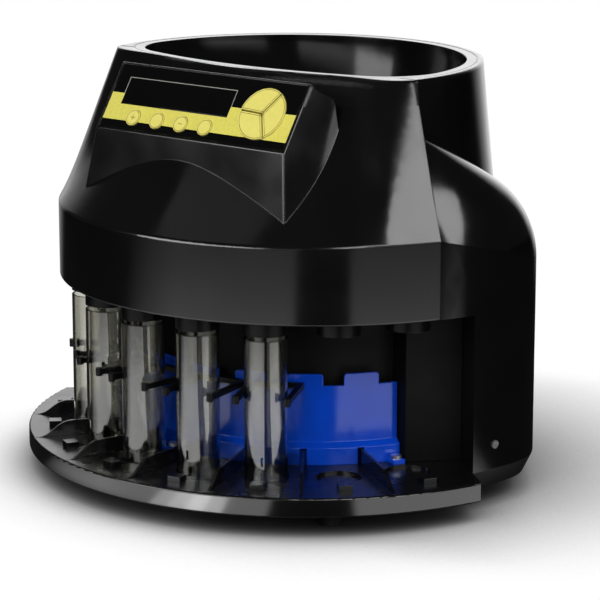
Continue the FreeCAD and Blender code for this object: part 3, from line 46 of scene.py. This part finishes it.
# Floor, with a painted shadow from ambient occlusion in its glow, spreading further on one side of the
# machine
floor_radius = 9.0
floor_corners = 96
floor_glow = 1.0
floor_albedo = 0.03
floor_roughness = 0.9
floor_shadow_reach = 0.065
floor_shadow_spread = 0.10
floor_shadow_band = (40.0, 200.0, 60.0, 60.0)
floor_shadow_depth = 2.3

# Pale fields in front of the machine and on its right, with the elevation at which each ends
front_band = (-31.0, 33.0, 26.0, 1.5)
front_top = 14.0
right_band = (54.5, 96.0, 1.5, 10.0)
right_top = 10.0
field_glow = 0.85
top_fade = 12.0

# Backdrop behind the machine, and the floor in front of the backdrop
backdrop_band = (183.0, 240.0, 20.0, 34.0)
backdrop_top = 32.0
backdrop_glow = 1.7
backdrop_start = 0.9
backdrop_fade = 0.6
backdrop_floor_glow = 1.1

# Pale floor close behind the machine
rear_band = (205.0, 240.0, 26.0, 34.0)
rear_glow = 0.6

# The floor's glow in reflections is a painted pool of light, palest near the machine, with painted shade
# under the edge of the tray
glow_radius = 0.70
glow_fall = 2.2
glow_most = 3.0
foot_radius = 0.195
foot_fade = 0.02

# Dim light from all round
world_strength = 0.03

# Lamps face this point
object_middle = Vector((0.0, 0.02, 0.12))

# Strips of card lying on the floor, which show in the tray's rim band: azimuth and radiance of each
floor_strips = (
    (4.8, 4.0),
    (9.6, 7.5),
    (14.4, 11.5),
    (19.2, 6.5),
)
strip_radius = 0.235
strip_height = 0.001
strip_width = 0.0197
strip_depth = 0.075

# Control panel, in millimetres across from its middle and up from its lower edge
button_across = (-50.3, -30.3, -10.3, 9.7)
button_up = 9.6
button_radius = 5.4
button_ring_share = 0.88
sector_centre = (49.9, 23.4)
sector_radius = 17.2
sector_ring_share = 0.955
sector_inset = 1.5
sector_splits = (57.0, 177.0, 297.0)
band_low = 7.0
band_high = 25.5
display_across = (-65.6, 23.6)
display_up = (18.1, 36.5)
outline_width = 0.5
key_line = 0.35

# Signs on the round buttons, as bars given by half their width and half their height
sign_half_length = 1.7
sign_half_line = 0.22
level_bar = (sign_half_length, sign_half_line)
upright_bar = (sign_half_line, sign_half_length)
button_signs = ((level_bar, upright_bar), (), (level_bar,), ())

# Directions over the panel face, from the joint of the first button
panel_in = Vector(joints["round_button_1_press"]["axis"])
panel_across = sideways
panel_up = panel_across.cross(panel_in)
first_button = Vector(joints["round_button_1_press"]["pos_m"])
panel_origin = first_button - panel_across * button_across[0] * MM - panel_up * button_up * MM

# Colours
white = (1.0, 1.0, 1.0)
black = (0.0028, 0.0028, 0.003)
deep_black = (0.0024, 0.0024, 0.0026)
panel_black = (0.002, 0.002, 0.0022)
switch_black = (0.010, 0.010, 0.0105)
foot_black = (0.008, 0.008, 0.008)
pad_black = (0.03, 0.03, 0.03)
yellow = (0.70, 0.64, 0.125)
pale_yellow = (0.74, 0.67, 0.16)
line_brown = (0.16, 0.10, 0.02)
outline_grey = (0.30, 0.30, 0.27)
blue = (0.002, 0.043, 0.41)
smoke = (0.59, 0.585, 0.535)
mask_green = (0.012, 0.10, 0.035)
track_green = (0.03, 0.20, 0.07)
steel = (0.78, 0.78, 0.79)
disc_grey = (0.55, 0.55, 0.57)
shaft_grey = (0.45, 0.45, 0.47)
zinc = (0.42, 0.43, 0.44)
brass = (0.70, 0.52, 0.22)
nylon = (0.70, 0.69, 0.64)
winding_brown = (0.14, 0.09, 0.05)

# The tubes are numbered from one
tube_count = 5

# Rounding of moulded edges: the casing is sharp below one level and roundest above another
edge_round = 1.0 * MM
tray_round = 0.25 * MM
rim_round = 3.5 * MM
rim_level = 252.0 * MM
sharp_level = 132.0 * MM
bevel_samples = 6

# Roughness added underneath and on top, with how squarely a face points that way before it counts
dull_underside = 0.4
underside_start = 0.12
underside_soft = 0.1
dull_top = 0.11
top_start = 0.8
top_soft = 0.4

# A noise stays mostly between these values
noise_low = 0.3
noise_high = 0.7


def direction(azimuth, elevation):
    """A unit vector towards an azimuth and an elevation."""
    turn = math.radians(azimuth)
    rise = math.radians(elevation)
    return Vector((math.sin(turn) * math.cos(rise), -math.cos(turn) * math.cos(rise), math.sin(rise)))


def shade(colour, factor):
    """A darker or paler shade of a colour."""
    return tuple(min(1.0, part * factor) for part in colour)


class Nodes:
    """A node tree under construction, with short ways to add the usual nodes."""

    def __init__(self, tree, place):
        self.tree = tree
        self.place = self.add("ShaderNodeTexCoord").outputs[place]

    def add(self, kind):
        """Adds a node."""
        return self.tree.nodes.new(kind)

    def feed(self, socket, value):
        """Links an output to a socket, or sets the socket to a number or a colour."""
        if isinstance(value, bpy.types.NodeSocket):
            self.tree.links.new(value, socket)
        elif hasattr(value, "__len__") and len(value) == 3 and len(socket.default_value) == 4:
            socket.default_value = (*value, 1.0)
        else:
            socket.default_value = value

    def math(self, operation, first, second=0.0):
        """The result of a sum on one or two values."""
        node = self.add("ShaderNodeMath")
        node.operation = operation
        self.feed(node.inputs[0], first)
        self.feed(node.inputs[1], second)
        return node.outputs[0]

    def dot(self, source, way):
        """The part of a vector that lies along a unit vector."""
        node = self.add("ShaderNodeVectorMath")
        node.operation = "DOT_PRODUCT"
        self.feed(node.inputs[0], source)
        node.inputs[1].default_value = way
        return node.outputs["Value"]

    def part_along(self, way):
        """How far the place lies along a unit vector."""
        return self.dot(self.place, way)

    def length(self, first, second):
        """The length of a vector with two parts at right angles."""
        squares = self.math("ADD", self.math("POWER", first, 2.0), self.math("POWER", second, 2.0))
        return self.math("SQRT", squares)

    def soft_step(self, value, start, width):
        """Zero below the start, one above it, with a soft change as wide as given."""
        ramp = self.math("DIVIDE", self.math("SUBTRACT", value, start - width / 2), width)
        return self.math("MINIMUM", self.math("MAXIMUM", ramp, 0.0), 1.0)

    def soft_fall(self, value, end, width):
        """One below the end, zero above it, with a soft change as wide as given."""
        return self.math("SUBTRACT", 1.0, self.soft_step(value, end, width))

    def ray_kinds(self):
        """Whether a ray sees the surroundings straight or through glass, and whether by a reflection."""
        rays = self.add("ShaderNodeLightPath")
        bright = self.math("ADD", rays.outputs["Is Camera Ray"], rays.outputs["Is Transmission Ray"])
        bounced = self.math("MINIMUM", rays.outputs["Glossy Depth"], 1.0)
        straight = self.math("MULTIPLY", bright, self.math("SUBTRACT", 1.0, bounced))
        polished = self.math("ADD", rays.outputs["Is Glossy Ray"], rays.outputs["Is Transmission Ray"])
        mirrored = self.math("MULTIPLY", bounced, self.math("MINIMUM", polished, 1.0))
        return straight, mirrored


class Look(Nodes):
    """A surface material."""

    # Sockets of a mix node that mixes colours
    mix_share = 0
    mix_first = 6
    mix_second = 7
    mix_result = 2

    def __init__(self, name):
        self.material = bpy.data.materials.new(name)
        self.material.use_nodes = True
        super().__init__(self.material.node_tree, "Object")
        self.shader = self.tree.nodes["Principled BSDF"]

    def put(self, name, value):
        """Feeds a socket of the surface shader."""
        self.feed(self.shader.inputs[name], value)

    def along(self, way, start):
        """Distance in millimetres along a unit vector from a start point."""
        scaled = self.math("MULTIPLY", self.part_along(way), 1 / MM)
        return self.math("SUBTRACT", scaled, way.dot(start) / MM)

    def facing(self, way):
        """How squarely the surface faces along a unit vector."""
        return self.dot(self.add("ShaderNodeNewGeometry").outputs["Normal"], way)

    def noise(self, scale, detail=3.0, stretch=None):
        """Noise over the surface, finer along an axis that is stretched by more."""
        node = self.add("ShaderNodeTexNoise")
        node.inputs["Scale"].default_value = scale
        node.inputs["Detail"].default_value = detail
        source = self.place
        if stretch:
            mapping = self.add("ShaderNodeMapping")
            mapping.inputs["Scale"].default_value = stretch
            self.feed(mapping.inputs["Vector"], self.place)
            source = mapping.outputs["Vector"]
        self.feed(node.inputs["Vector"], source)
        return node.outputs["Fac"]

    def ring_noise(self, axis, scale, detail):
        """Noise that changes only with the distance from an upright axis."""
        beside = self.math("SUBTRACT", self.part_along(sideways), axis.x)
        behind = self.math("SUBTRACT", self.part_along(backward), axis.y)
        node = self.add("ShaderNodeTexNoise")
        node.noise_dimensions = "1D"
        node.inputs["Scale"].default_value = scale
        node.inputs["Detail"].default_value = detail
        self.feed(node.inputs["W"], self.length(beside, behind))
        return node.outputs["Fac"]

    def spread(self, source, low=0.0, high=1.0):
        """A noise opened out to a range."""
        node = self.add("ShaderNodeMapRange")
        self.feed(node.inputs["Value"], source)
        node.inputs["From Min"].default_value = noise_low
        node.inputs["From Max"].default_value = noise_high
        node.inputs["To Min"].default_value = low
        node.inputs["To Max"].default_value = high
        return node.outputs["Result"]

    def mix(self, share, first, second):
        """The first colour where the share is zero, the second where it is one."""
        node = self.add("ShaderNodeMix")
        node.data_type = "RGBA"
        self.feed(node.inputs[self.mix_share], share)
        self.feed(node.inputs[self.mix_first], first)
        self.feed(node.inputs[self.mix_second], second)
        return node.outputs[self.mix_result]

    def mottle(self, source, colour, darkest, palest):
        """A colour that runs between two of its shades with a noise."""
        return self.mix(self.spread(source), shade(colour, darkest), shade(colour, palest))

    def bump(self, height, strength, depth):
        """A surface texture, as deep as given in millimetres."""
        self.relief = self.add("ShaderNodeBump")
        self.relief.inputs["Strength"].default_value = strength
        self.relief.inputs["Distance"].default_value = depth * MM
        self.feed(self.relief.inputs["Height"], height)
        self.put("Normal", self.relief.outputs["Normal"])

    def round_edges(self, radius):
        """Edges catch light as if rounded, under the surface texture."""
        node = self.add("ShaderNodeBevel")
        node.samples = bevel_samples
        self.rounding = node.inputs["Radius"]
        self.feed(self.rounding, radius)
        self.feed(self.relief.inputs["Normal"], node.outputs["Normal"])

    def dull(self, share, amount):
        """Adds roughness on a share of the surface."""
        gloss = self.shader.inputs["Roughness"].links[0].from_socket
        self.put("Roughness", self.math("ADD", gloss, self.math("MULTIPLY", share, amount)))

    def dull_below(self):
        """Adds roughness to undersides."""
        self.dull(self.soft_step(self.facing(-upward), underside_start, underside_soft), dull_underside)

    def band(self, value, low, high):
        """One between two limits, zero outside them."""
        over = self.math("GREATER_THAN", value, low)
        under = self.math("LESS_THAN", value, high)
        return self.math("MULTIPLY", over, under)


def moulded(name, colour, gloss, grain_scale, grain_depth, rounding=edge_round):
    """Moulded plastic: faint mottling, uneven gloss, a fine skin texture and rounded edges."""
    look = Look(name)
    look.put("Base Color", look.mottle(look.noise(scale=24.0), colour, darkest=0.85, palest=1.18))
    look.put("Roughness", look.spread(look.noise(scale=38.0, detail=5.0), *gloss))
    look.bump(look.noise(scale=grain_scale, detail=2.0), strength=0.12, depth=grain_depth)
    look.round_edges(rounding)
    return look


def housing_gloss():
    """The polished casing, dull underneath."""
    look = moulded("housing_gloss", black, gloss=(0.10, 0.17), grain_scale=420.0, grain_depth=0.02)
    height = look.part_along(upward)
    at_edge = look.math("MULTIPLY", look.math("GREATER_THAN", height, sharp_level), edge_round)
    at_rim = look.math("MULTIPLY", look.math("GREATER_THAN", height, rim_level), rim_round - edge_round)
    look.feed(look.rounding, look.math("ADD", at_edge, at_rim))
    look.dull_below()
    return look


def tray_gloss():
    """The tray, polished on its rim band and duller on top and underneath."""
    look = moulded(
        "tray_gloss", black, gloss=(0.13, 0.20), grain_scale=520.0, grain_depth=0.02, rounding=tray_round
    )
    look.dull(look.soft_step(look.facing(upward), top_start, top_soft), dull_top)
    look.dull_below()
    return look


def turned_metal(name, colour, gloss, scale, axis=None):
    """Metal with fine grinding marks, or with rings around the upright axis that it was turned on."""
    look = Look(name)
    if axis is None:
        marks = look.noise(scale, detail=4.0, stretch=(1.0, 1.0, 12.0))
    else:
        marks = look.ring_noise(axis, scale, detail=4.0)
    look.put("Base Color", look.mottle(marks, colour, darkest=0.8, palest=1.15))
    look.put("Metallic", 1.0)
    look.put("Roughness", look.spread(marks, *gloss))
    look.bump(marks, strength=0.15, depth=0.05)
    return look


def tube_smoke():
    """Smoke-tinted clear plastic with faint flow lines down the tube."""
    look = Look("tube_smoke")
    lines = look.noise(scale=160.0, stretch=(1.0, 1.0, 0.06))
    look.put("Base Color", look.mottle(lines, smoke, darkest=0.92, palest=1.0))
    look.put("Roughness", look.spread(look.noise(scale=45.0, detail=4.0), low=0.03, high=0.09))
    look.put("Transmission Weight", 1.0)
    look.put("IOR", 1.58)
    look.bump(lines, strength=0.08, depth=0.1)
    return look


def rubber(name, colour):
    """Dull rubber with a fine grain."""
    look = Look(name)
    grain = look.noise(scale=900.0, detail=4.0)
    look.put("Base Color", look.mottle(grain, colour, darkest=0.8, palest=1.3))
    look.put("Roughness", look.spread(grain, low=0.6, high=0.85))
    look.put("Specular IOR Level", 0.2)
    look.bump(grain, strength=0.3, depth=0.15)
    return look


def board_green():
    """Green solder mask over a faint pattern of tracks."""
    look = Look("board_green")
    tracks = look.noise(scale=260.0, detail=1.0, stretch=(1.0, 0.2, 1.0))
    track_level = 0.55
    on_track = look.math("GREATER_THAN", tracks, track_level)
    look.put("Base Color", look.mix(on_track, mask_green, track_green))
    look.put("Roughness", look.spread(look.noise(scale=80.0), low=0.25, high=0.45))
    look.bump(tracks, strength=0.1, depth=0.05)
    return look


def panel_film():
    """Printed film: black with a yellow band, and a thin line round the display above the band."""
    look = Look("panel_film_print")
    up = look.along(panel_up, panel_origin)
    across = look.along(panel_across, panel_origin)
    grain = look.noise(scale=600.0)
    ink = look.mottle(grain, yellow, darkest=0.93, palest=1.04)
    colour = look.mix(look.band(up, band_low, band_high), panel_black, ink)
    left, right = display_across
    low, high = display_up
    beside = [look.math("SUBTRACT", left, across), look.math("SUBTRACT", across, right)]
    above = [look.math("SUBTRACT", low, up), look.math("SUBTRACT", up, high)]
    outside = look.math("MAXIMUM", look.math("MAXIMUM", *beside), look.math("MAXIMUM", *above))
    line = look.math("LESS_THAN", outside, outline_width)
    line = look.math("MULTIPLY", line, look.math("GREATER_THAN", up, band_high))
    look.put("Base Color", look.mix(line, colour, outline_grey))
    look.put("Roughness", look.spread(look.noise(scale=55.0, detail=4.0), low=0.06, high=0.11))
    look.bump(grain, strength=0.08, depth=0.05)
    return look


def panel_point(across, up):
    """A point of the panel face, given in millimetres across and up."""
    return panel_origin + panel_across * across * MM + panel_up * up * MM


def key_ink(look):
    """Gives a key its skin and returns the colour of its ink."""
    grain = look.noise(scale=500.0)
    look.bump(grain, strength=0.03, depth=0.05)
    look.put("Roughness", look.spread(look.noise(scale=70.0, detail=4.0), low=0.28, high=0.42))
    return look.mottle(grain, pale_yellow, darkest=0.97, palest=1.03)


def thin_line(look, distance, place):
    """One where a distance in millimetres is about as large as given, zero elsewhere."""
    return look.band(distance, place - key_line / 2, place + key_line / 2)


def round_key(index):
    """Yellow round button with a thin ring near its edge and a sign made of plain bars."""
    look = Look("round_key_print_" + str(index + 1))
    middle = panel_point(button_across[index], button_up)
    beside = look.along(panel_across, middle)
    above = look.along(panel_up, middle)
    marks = thin_line(look, look.length(beside, above), button_radius * button_ring_share)
    level = look.math("ABSOLUTE", beside)
    upright = look.math("ABSOLUTE", above)
    for half_wide, half_tall in button_signs[index]:
        wide = look.math("LESS_THAN", level, half_wide)
        tall = look.math("LESS_THAN", upright, half_tall)
        marks = look.math("MAXIMUM", marks, look.math("MULTIPLY", wide, tall))
    look.put("Base Color", look.mix(marks, key_ink(look), line_brown))
    return look


def sector_key(index):
    """Yellow sector with a thin line a little inside its edges."""
    look = Look("sector_key_print_" + str(index + 1))
    middle = panel_point(*sector_centre)
    radius = look.length(look.along(panel_across, middle), look.along(panel_up, middle))
    ring_radius = sector_radius * sector_ring_share
    marks = thin_line(look, radius, ring_radius)
    inside = look.math("LESS_THAN", radius, ring_radius)
    next_index = (index + 1) % len(sector_splits)
    for turn, side in ((sector_splits[index], 1.0), (sector_splits[next_index], -1.0)):
        angle = math.radians(turn)
        normal = (panel_up * math.cos(angle) - panel_across * math.sin(angle)) * side
        line = thin_line(look, look.along(normal, middle), sector_inset)
        marks = look.math("MAXIMUM", marks, look.math("MULTIPLY", line, inside))
    look.put("Base Color", look.mix(marks, key_ink(look), line_brown))
    return look


def dress(look, *names):
    """Gives a look to CAD nodes."""
    for name in names:
        node = nodes[name]
        node.data.materials.clear()
        node.data.materials.append(look.material)


def dress_casing():
    """Outer mouldings, tubes and rubber feet."""
    dress(housing_gloss(), "main_housing", "hopper_tower")
    bowl = moulded("bowl_gloss", black, gloss=(0.09, 0.16), grain_scale=420.0, grain_depth=0.02)
    dress(bowl, "hopper_bowl")
    dress(tray_gloss(), "base_tray", "bay_fins", "stop_tabs")
    fork = moulded("fork_satin", deep_black, gloss=(0.28, 0.40), grain_scale=700.0, grain_depth=0.06)
    fork.put("Specular IOR Level", 0.1)
    dress(fork, "tube_forks", "outlet_plate")
    core = moulded("core_matt", deep_black, gloss=(0.45, 0.6), grain_scale=700.0, grain_depth=0.08)
    core.put("Specular IOR Level", 0.07)
    dress(core, "core_shell")
    guard = moulded("guard_gloss", blue, gloss=(0.10, 0.17), grain_scale=380.0, grain_depth=0.02)
    guard.put("Specular IOR Level", 0.32)
    dress(guard, "guard_ring")
    switch = moulded(
        "switch_satin", switch_black, gloss=(0.30, 0.42), grain_scale=800.0, grain_depth=0.06
    )
    dress(switch, "rocker_frame", "power_rocker", "power_inlet")
    dress(tube_smoke(), *("coin_tube_" + str(index + 1) for index in range(tube_count)))
    dress(rubber("foot_rubber", foot_black), "rubber_feet")


def dress_panel():
    """Film, window and keys of the control panel."""
    dress(panel_film(), "panel_overlay")
    window = moulded("window_tint", panel_black, gloss=(0.05, 0.09), grain_scale=300.0, grain_depth=0.01)
    dress(window, "display_window")
    for index in range(len(button_across)):
        dress(round_key(index), "round_button_" + str(index + 1))
    for index in range(len(sector_splits)):
        dress(sector_key(index), "sector_key_" + str(index + 1))


def dress_works():
    """Screws, the drive, the disc and the boards."""
    inner = moulded("inner_satin", deep_black, gloss=(0.26, 0.42), grain_scale=700.0, grain_depth=0.06)
    dress(inner, "coin_chutes", "coin_sensors", "key_switches", "display_module", "screw_blocks")
    screw = turned_metal("screw_bright", steel, gloss=(0.24, 0.38), scale=500.0)
    dress(screw, "housing_screws", "guard_ring_screws", "foot_screws", "motor_screws")
    dress(rubber("pad_rubber", pad_black), "disc_pad")
    disc_axis = Vector(joints["feed_disc_turn"]["pos_m"])
    disc = turned_metal("disc_turned", disc_grey, gloss=(0.25, 0.40), scale=420.0, axis=disc_axis)
    dress(disc, "feed_disc", "sorting_ring")
    shaft = turned_metal("shaft_ground", shaft_grey, gloss=(0.20, 0.38), scale=400.0)
    dress(shaft, "drive_shaft", "disc_nut", "upper_bearing", "lower_bearing")
    dress(shaft, "motor_bracket", "motor_pinion")
    gear = moulded("gear_nylon", nylon, gloss=(0.35, 0.5), grain_scale=600.0, grain_depth=0.05)
    dress(gear, "drive_gear")
    dress(turned_metal("motor_zinc", zinc, gloss=(0.30, 0.5), scale=300.0), "drive_motor")
    dress(board_green(), "control_board", "power_board", "display_board")
    winding = moulded(
        "winding_brown", winding_brown, gloss=(0.4, 0.6), grain_scale=500.0, grain_depth=0.08
    )
    dress(winding, "transformer")
    dress(turned_metal("pin_brass", brass, gloss=(0.18, 0.32), scale=500.0), "inlet_pins", "board_posts")


def azimuth_of(graph):
    """Where a place lies around the machine."""
    ahead = graph.part_along(direction(middle_azimuth, 0.0))
    beside = graph.part_along(direction(middle_azimuth + quarter_turn, 0.0))
    turn = graph.math("DEGREES", graph.math("ARCTAN2", beside, ahead))
    return graph.math("ADD", turn, middle_azimuth)


def band_share(graph, azimuth, first, last, first_soft, last_soft):
    """One inside a band of azimuths, zero outside it."""
    rise = graph.soft_step(azimuth, first, first_soft)
    return graph.math("MULTIPLY", rise, graph.soft_fall(azimuth, last, last_soft))


def mirrored_floor(look, azimuth):
    """How pale the floor shows in polished walls: painted pale fields with dark gaps between them, a
    painted pool of light near the machine and painted shade under the tray's edge.
    """
    radius = look.length(look.part_along(sideways), look.part_along(backward))
    front = band_share(look, azimuth, *front_band)
    right = band_share(look, azimuth, *right_band)
    fields = look.math("MULTIPLY", look.math("ADD", front, right), field_glow)
    rear = look.math("MULTIPLY", band_share(look, azimuth, *rear_band), rear_glow)
    fields = look.math("ADD", fields, rear)
    # Painted pool of light that fades away from the machine, then painted shade that blanks it under the
    # tray's edge
    fall = look.math("POWER", look.math("DIVIDE", glow_radius, radius), glow_fall)
    fields = look.math("MULTIPLY", fields, look.math("MINIMUM", fall, glow_most))
    near = look.math("MULTIPLY", fields, look.soft_step(radius, foot_radius, foot_fade))
    far = look.math("MULTIPLY", band_share(look, azimuth, *backdrop_band), backdrop_floor_glow)
    far = look.math("MULTIPLY", far, look.soft_step(radius, backdrop_start, backdrop_fade))
    return look.math("ADD", near, far)


def mirrored_walls(sky):
    """How pale the surroundings show in polished walls above the floor."""
    azimuth = azimuth_of(sky)
    elevation = sky.math("DEGREES", sky.math("ARCSINE", sky.part_along(upward)))
    every_field = (
        (front_band, front_top, field_glow),
        (right_band, right_top, field_glow),
        (backdrop_band, backdrop_top, backdrop_glow),
    )
    fields = 0.0
    for band, top, glow in every_field:
        share = band_share(sky, azimuth, *band)
        share = sky.math("MULTIPLY", share, sky.soft_fall(elevation, top, top_fade))
        fields = sky.math("ADD", fields, sky.math("MULTIPLY", share, glow))
    return fields


def floor_look():
    """Pale floor that reads as white, with the machine's shadow painted into its glow from ambient
    occlusion.
    """
    look = Look("floor_pale")
    look.put("Base Color", (floor_albedo, floor_albedo, floor_albedo))
    look.put("Roughness", floor_roughness)
    look.put("Specular IOR Level", 0.0)
    look.put("Emission Color", white)
    azimuth = azimuth_of(look)
    far_side = look.math("MULTIPLY", band_share(look, azimuth, *floor_shadow_band), floor_shadow_spread)
    # Painted shadow: ambient occlusion darkens the floor's glow, and reaches further on one side of the
    # machine
    hidden = look.add("ShaderNodeAmbientOcclusion")
    look.feed(hidden.inputs["Distance"], look.math("ADD", far_side, floor_shadow_reach))
    shadow = look.math("POWER", hidden.outputs["AO"], floor_shadow_depth)
    straight, mirrored = look.ray_kinds()
    seen = look.math("MULTIPLY", look.math("MULTIPLY", straight, floor_glow), shadow)
    reflected = look.math("MULTIPLY", mirrored, mirrored_floor(look, azimuth))
    look.put("Emission Strength", look.math("MAXIMUM", seen, reflected))
    return look


def make_floor():
    """The floor under the machine."""
    bpy.ops.mesh.primitive_circle_add(
        vertices=floor_corners, radius=floor_radius, fill_type="NGON", location=(0.0, 0.0, 0.0)
    )
    floor = bpy.context.object
    floor.name = "stage_floor"
    floor.data.materials.append(floor_look().material)


def make_world():
    """A dim room with a white backdrop, which only the camera, glass and polished surfaces see."""
    world = bpy.data.worlds.new("studio")
    bpy.context.scene.world = world
    world.use_nodes = True
    sky = Nodes(world.node_tree, "Generated")
    background = sky.tree.nodes["Background"]
    sky.feed(background.inputs["Color"], white)
    straight, mirrored = sky.ray_kinds()
    reflected = sky.math("MULTIPLY", mirrored, mirrored_walls(sky))
    strength = sky.math("MAXIMUM", sky.math("MAXIMUM", straight, reflected), world_strength)
    sky.feed(background.inputs["Strength"], strength)


def aim(thing, target, azimuth, elevation, distance):
    """Sets a lamp or camera at a distance from a target, facing it."""
    outward = direction(azimuth, elevation)
    thing.location = target + outward * distance
    thing.rotation_euler = outward.to_track_quat("Z", "Y").to_euler()


def soft_box(name, width, height, radiance):
    """A rectangular studio lamp, not yet placed."""
    light = bpy.data.lights.new(name, "AREA")
    light.shape = "RECTANGLE"
    light.size = width
    light.size_y = height
    light.energy = radiance * math.pi * width * height
    lamp = bpy.data.objects.new(name, light)
    bpy.context.scene.collection.objects.link(lamp)
    return lamp


def mirror_card(name, azimuth, elevation, distance, width, height, radiance):
    """A bright card that shows in polished surfaces and adds no other light."""
    lamp = soft_box(name, width, height, radiance)
    aim(lamp, object_middle, azimuth, elevation, distance)
    lamp.visible_diffuse = False
    return lamp


def floor_card(name, azimuth, radiance):
    """A strip of card lying face up on the floor in front of the tray, which adds no other light."""
    lamp = soft_box(name, strip_width, strip_depth, radiance)
    lamp.location = direction(azimuth, 0.0) * strip_radius + upward * strip_height
    lamp.rotation_euler = (math.pi, 0.0, math.radians(azimuth))
    lamp.visible_diffuse = False
    return lamp


def fill_light(name, azimuth, elevation, distance, width, height, radiance):
    """A light that shows in no polished surface."""
    lamp = soft_box(name, width, height, radiance)
    aim(lamp, object_middle, azimuth, elevation, distance)
    lamp.visible_glossy = False


def shine_on(lamp, names):
    """Flags a light so that it reaches only some CAD nodes."""
    lit = bpy.data.collections.new(lamp.name + "_lit")
    for name in names:
        lit.objects.link(nodes[name])
    lamp.light_linking.receiver_collection = lit


def make_lights():
    """Cards that show in polished surfaces, and lights for everything else."""
    outside_bowl = [name for name in nodes if name != "hopper_bowl"]
    right = mirror_card(
        "card_right", azimuth=78.0, elevation=23.0, distance=1.7, width=1.81, height=0.46, radiance=6.5
    )
    shine_on(right, outside_bowl)
    front = mirror_card(
        "card_front", azimuth=-13.0, elevation=18.0, distance=1.9, width=2.0, height=0.43, radiance=9.0
    )
    shine_on(front, outside_bowl)
    low = mirror_card(
        "card_low", azimuth=-20.0, elevation=6.0, distance=2.2, width=1.1, height=0.40, radiance=2.8
    )
    shine_on(low, outside_bowl)
    bowl = mirror_card(
        "card_bowl", azimuth=-22.0, elevation=9.0, distance=2.2, width=1.1, height=1.1, radiance=3.6
    )
    shine_on(bowl, ["hopper_bowl"])
    for number, strip in enumerate(floor_strips, 1):
        shine_on(floor_card("card_floor_" + str(number), *strip), ["base_tray"])
    mirror_card(
        "card_top", azimuth=-62.0, elevation=64.0, distance=1.9, width=1.2, height=0.8, radiance=0.25
    )
    fill_light(
        "fill_key", azimuth=15.0, elevation=38.0, distance=1.9, width=1.6, height=1.2, radiance=6.0
    )
    fill_light(
        "fill_front", azimuth=76.0, elevation=7.0, distance=1.9, width=1.6, height=0.8, radiance=4.0
    )


def make_camera():
    """The camera at the photograph's view."""
    camera = bpy.data.cameras.new("camera")
    camera.lens = camera_lens
    camera.sensor_width = camera_sensor
    camera.clip_end = camera_reach
    eye = bpy.data.objects.new("camera", camera)
    bpy.context.scene.collection.objects.link(eye)
    aim(eye, camera_target, camera_azimuth, camera_elevation, camera_distance)
    bpy.context.scene.camera = eye


dress_casing()
dress_panel()
dress_works()
make_floor()
make_world()
make_lights()
make_camera()
bpy.context.scene.view_settings.view_transform = "Standard"
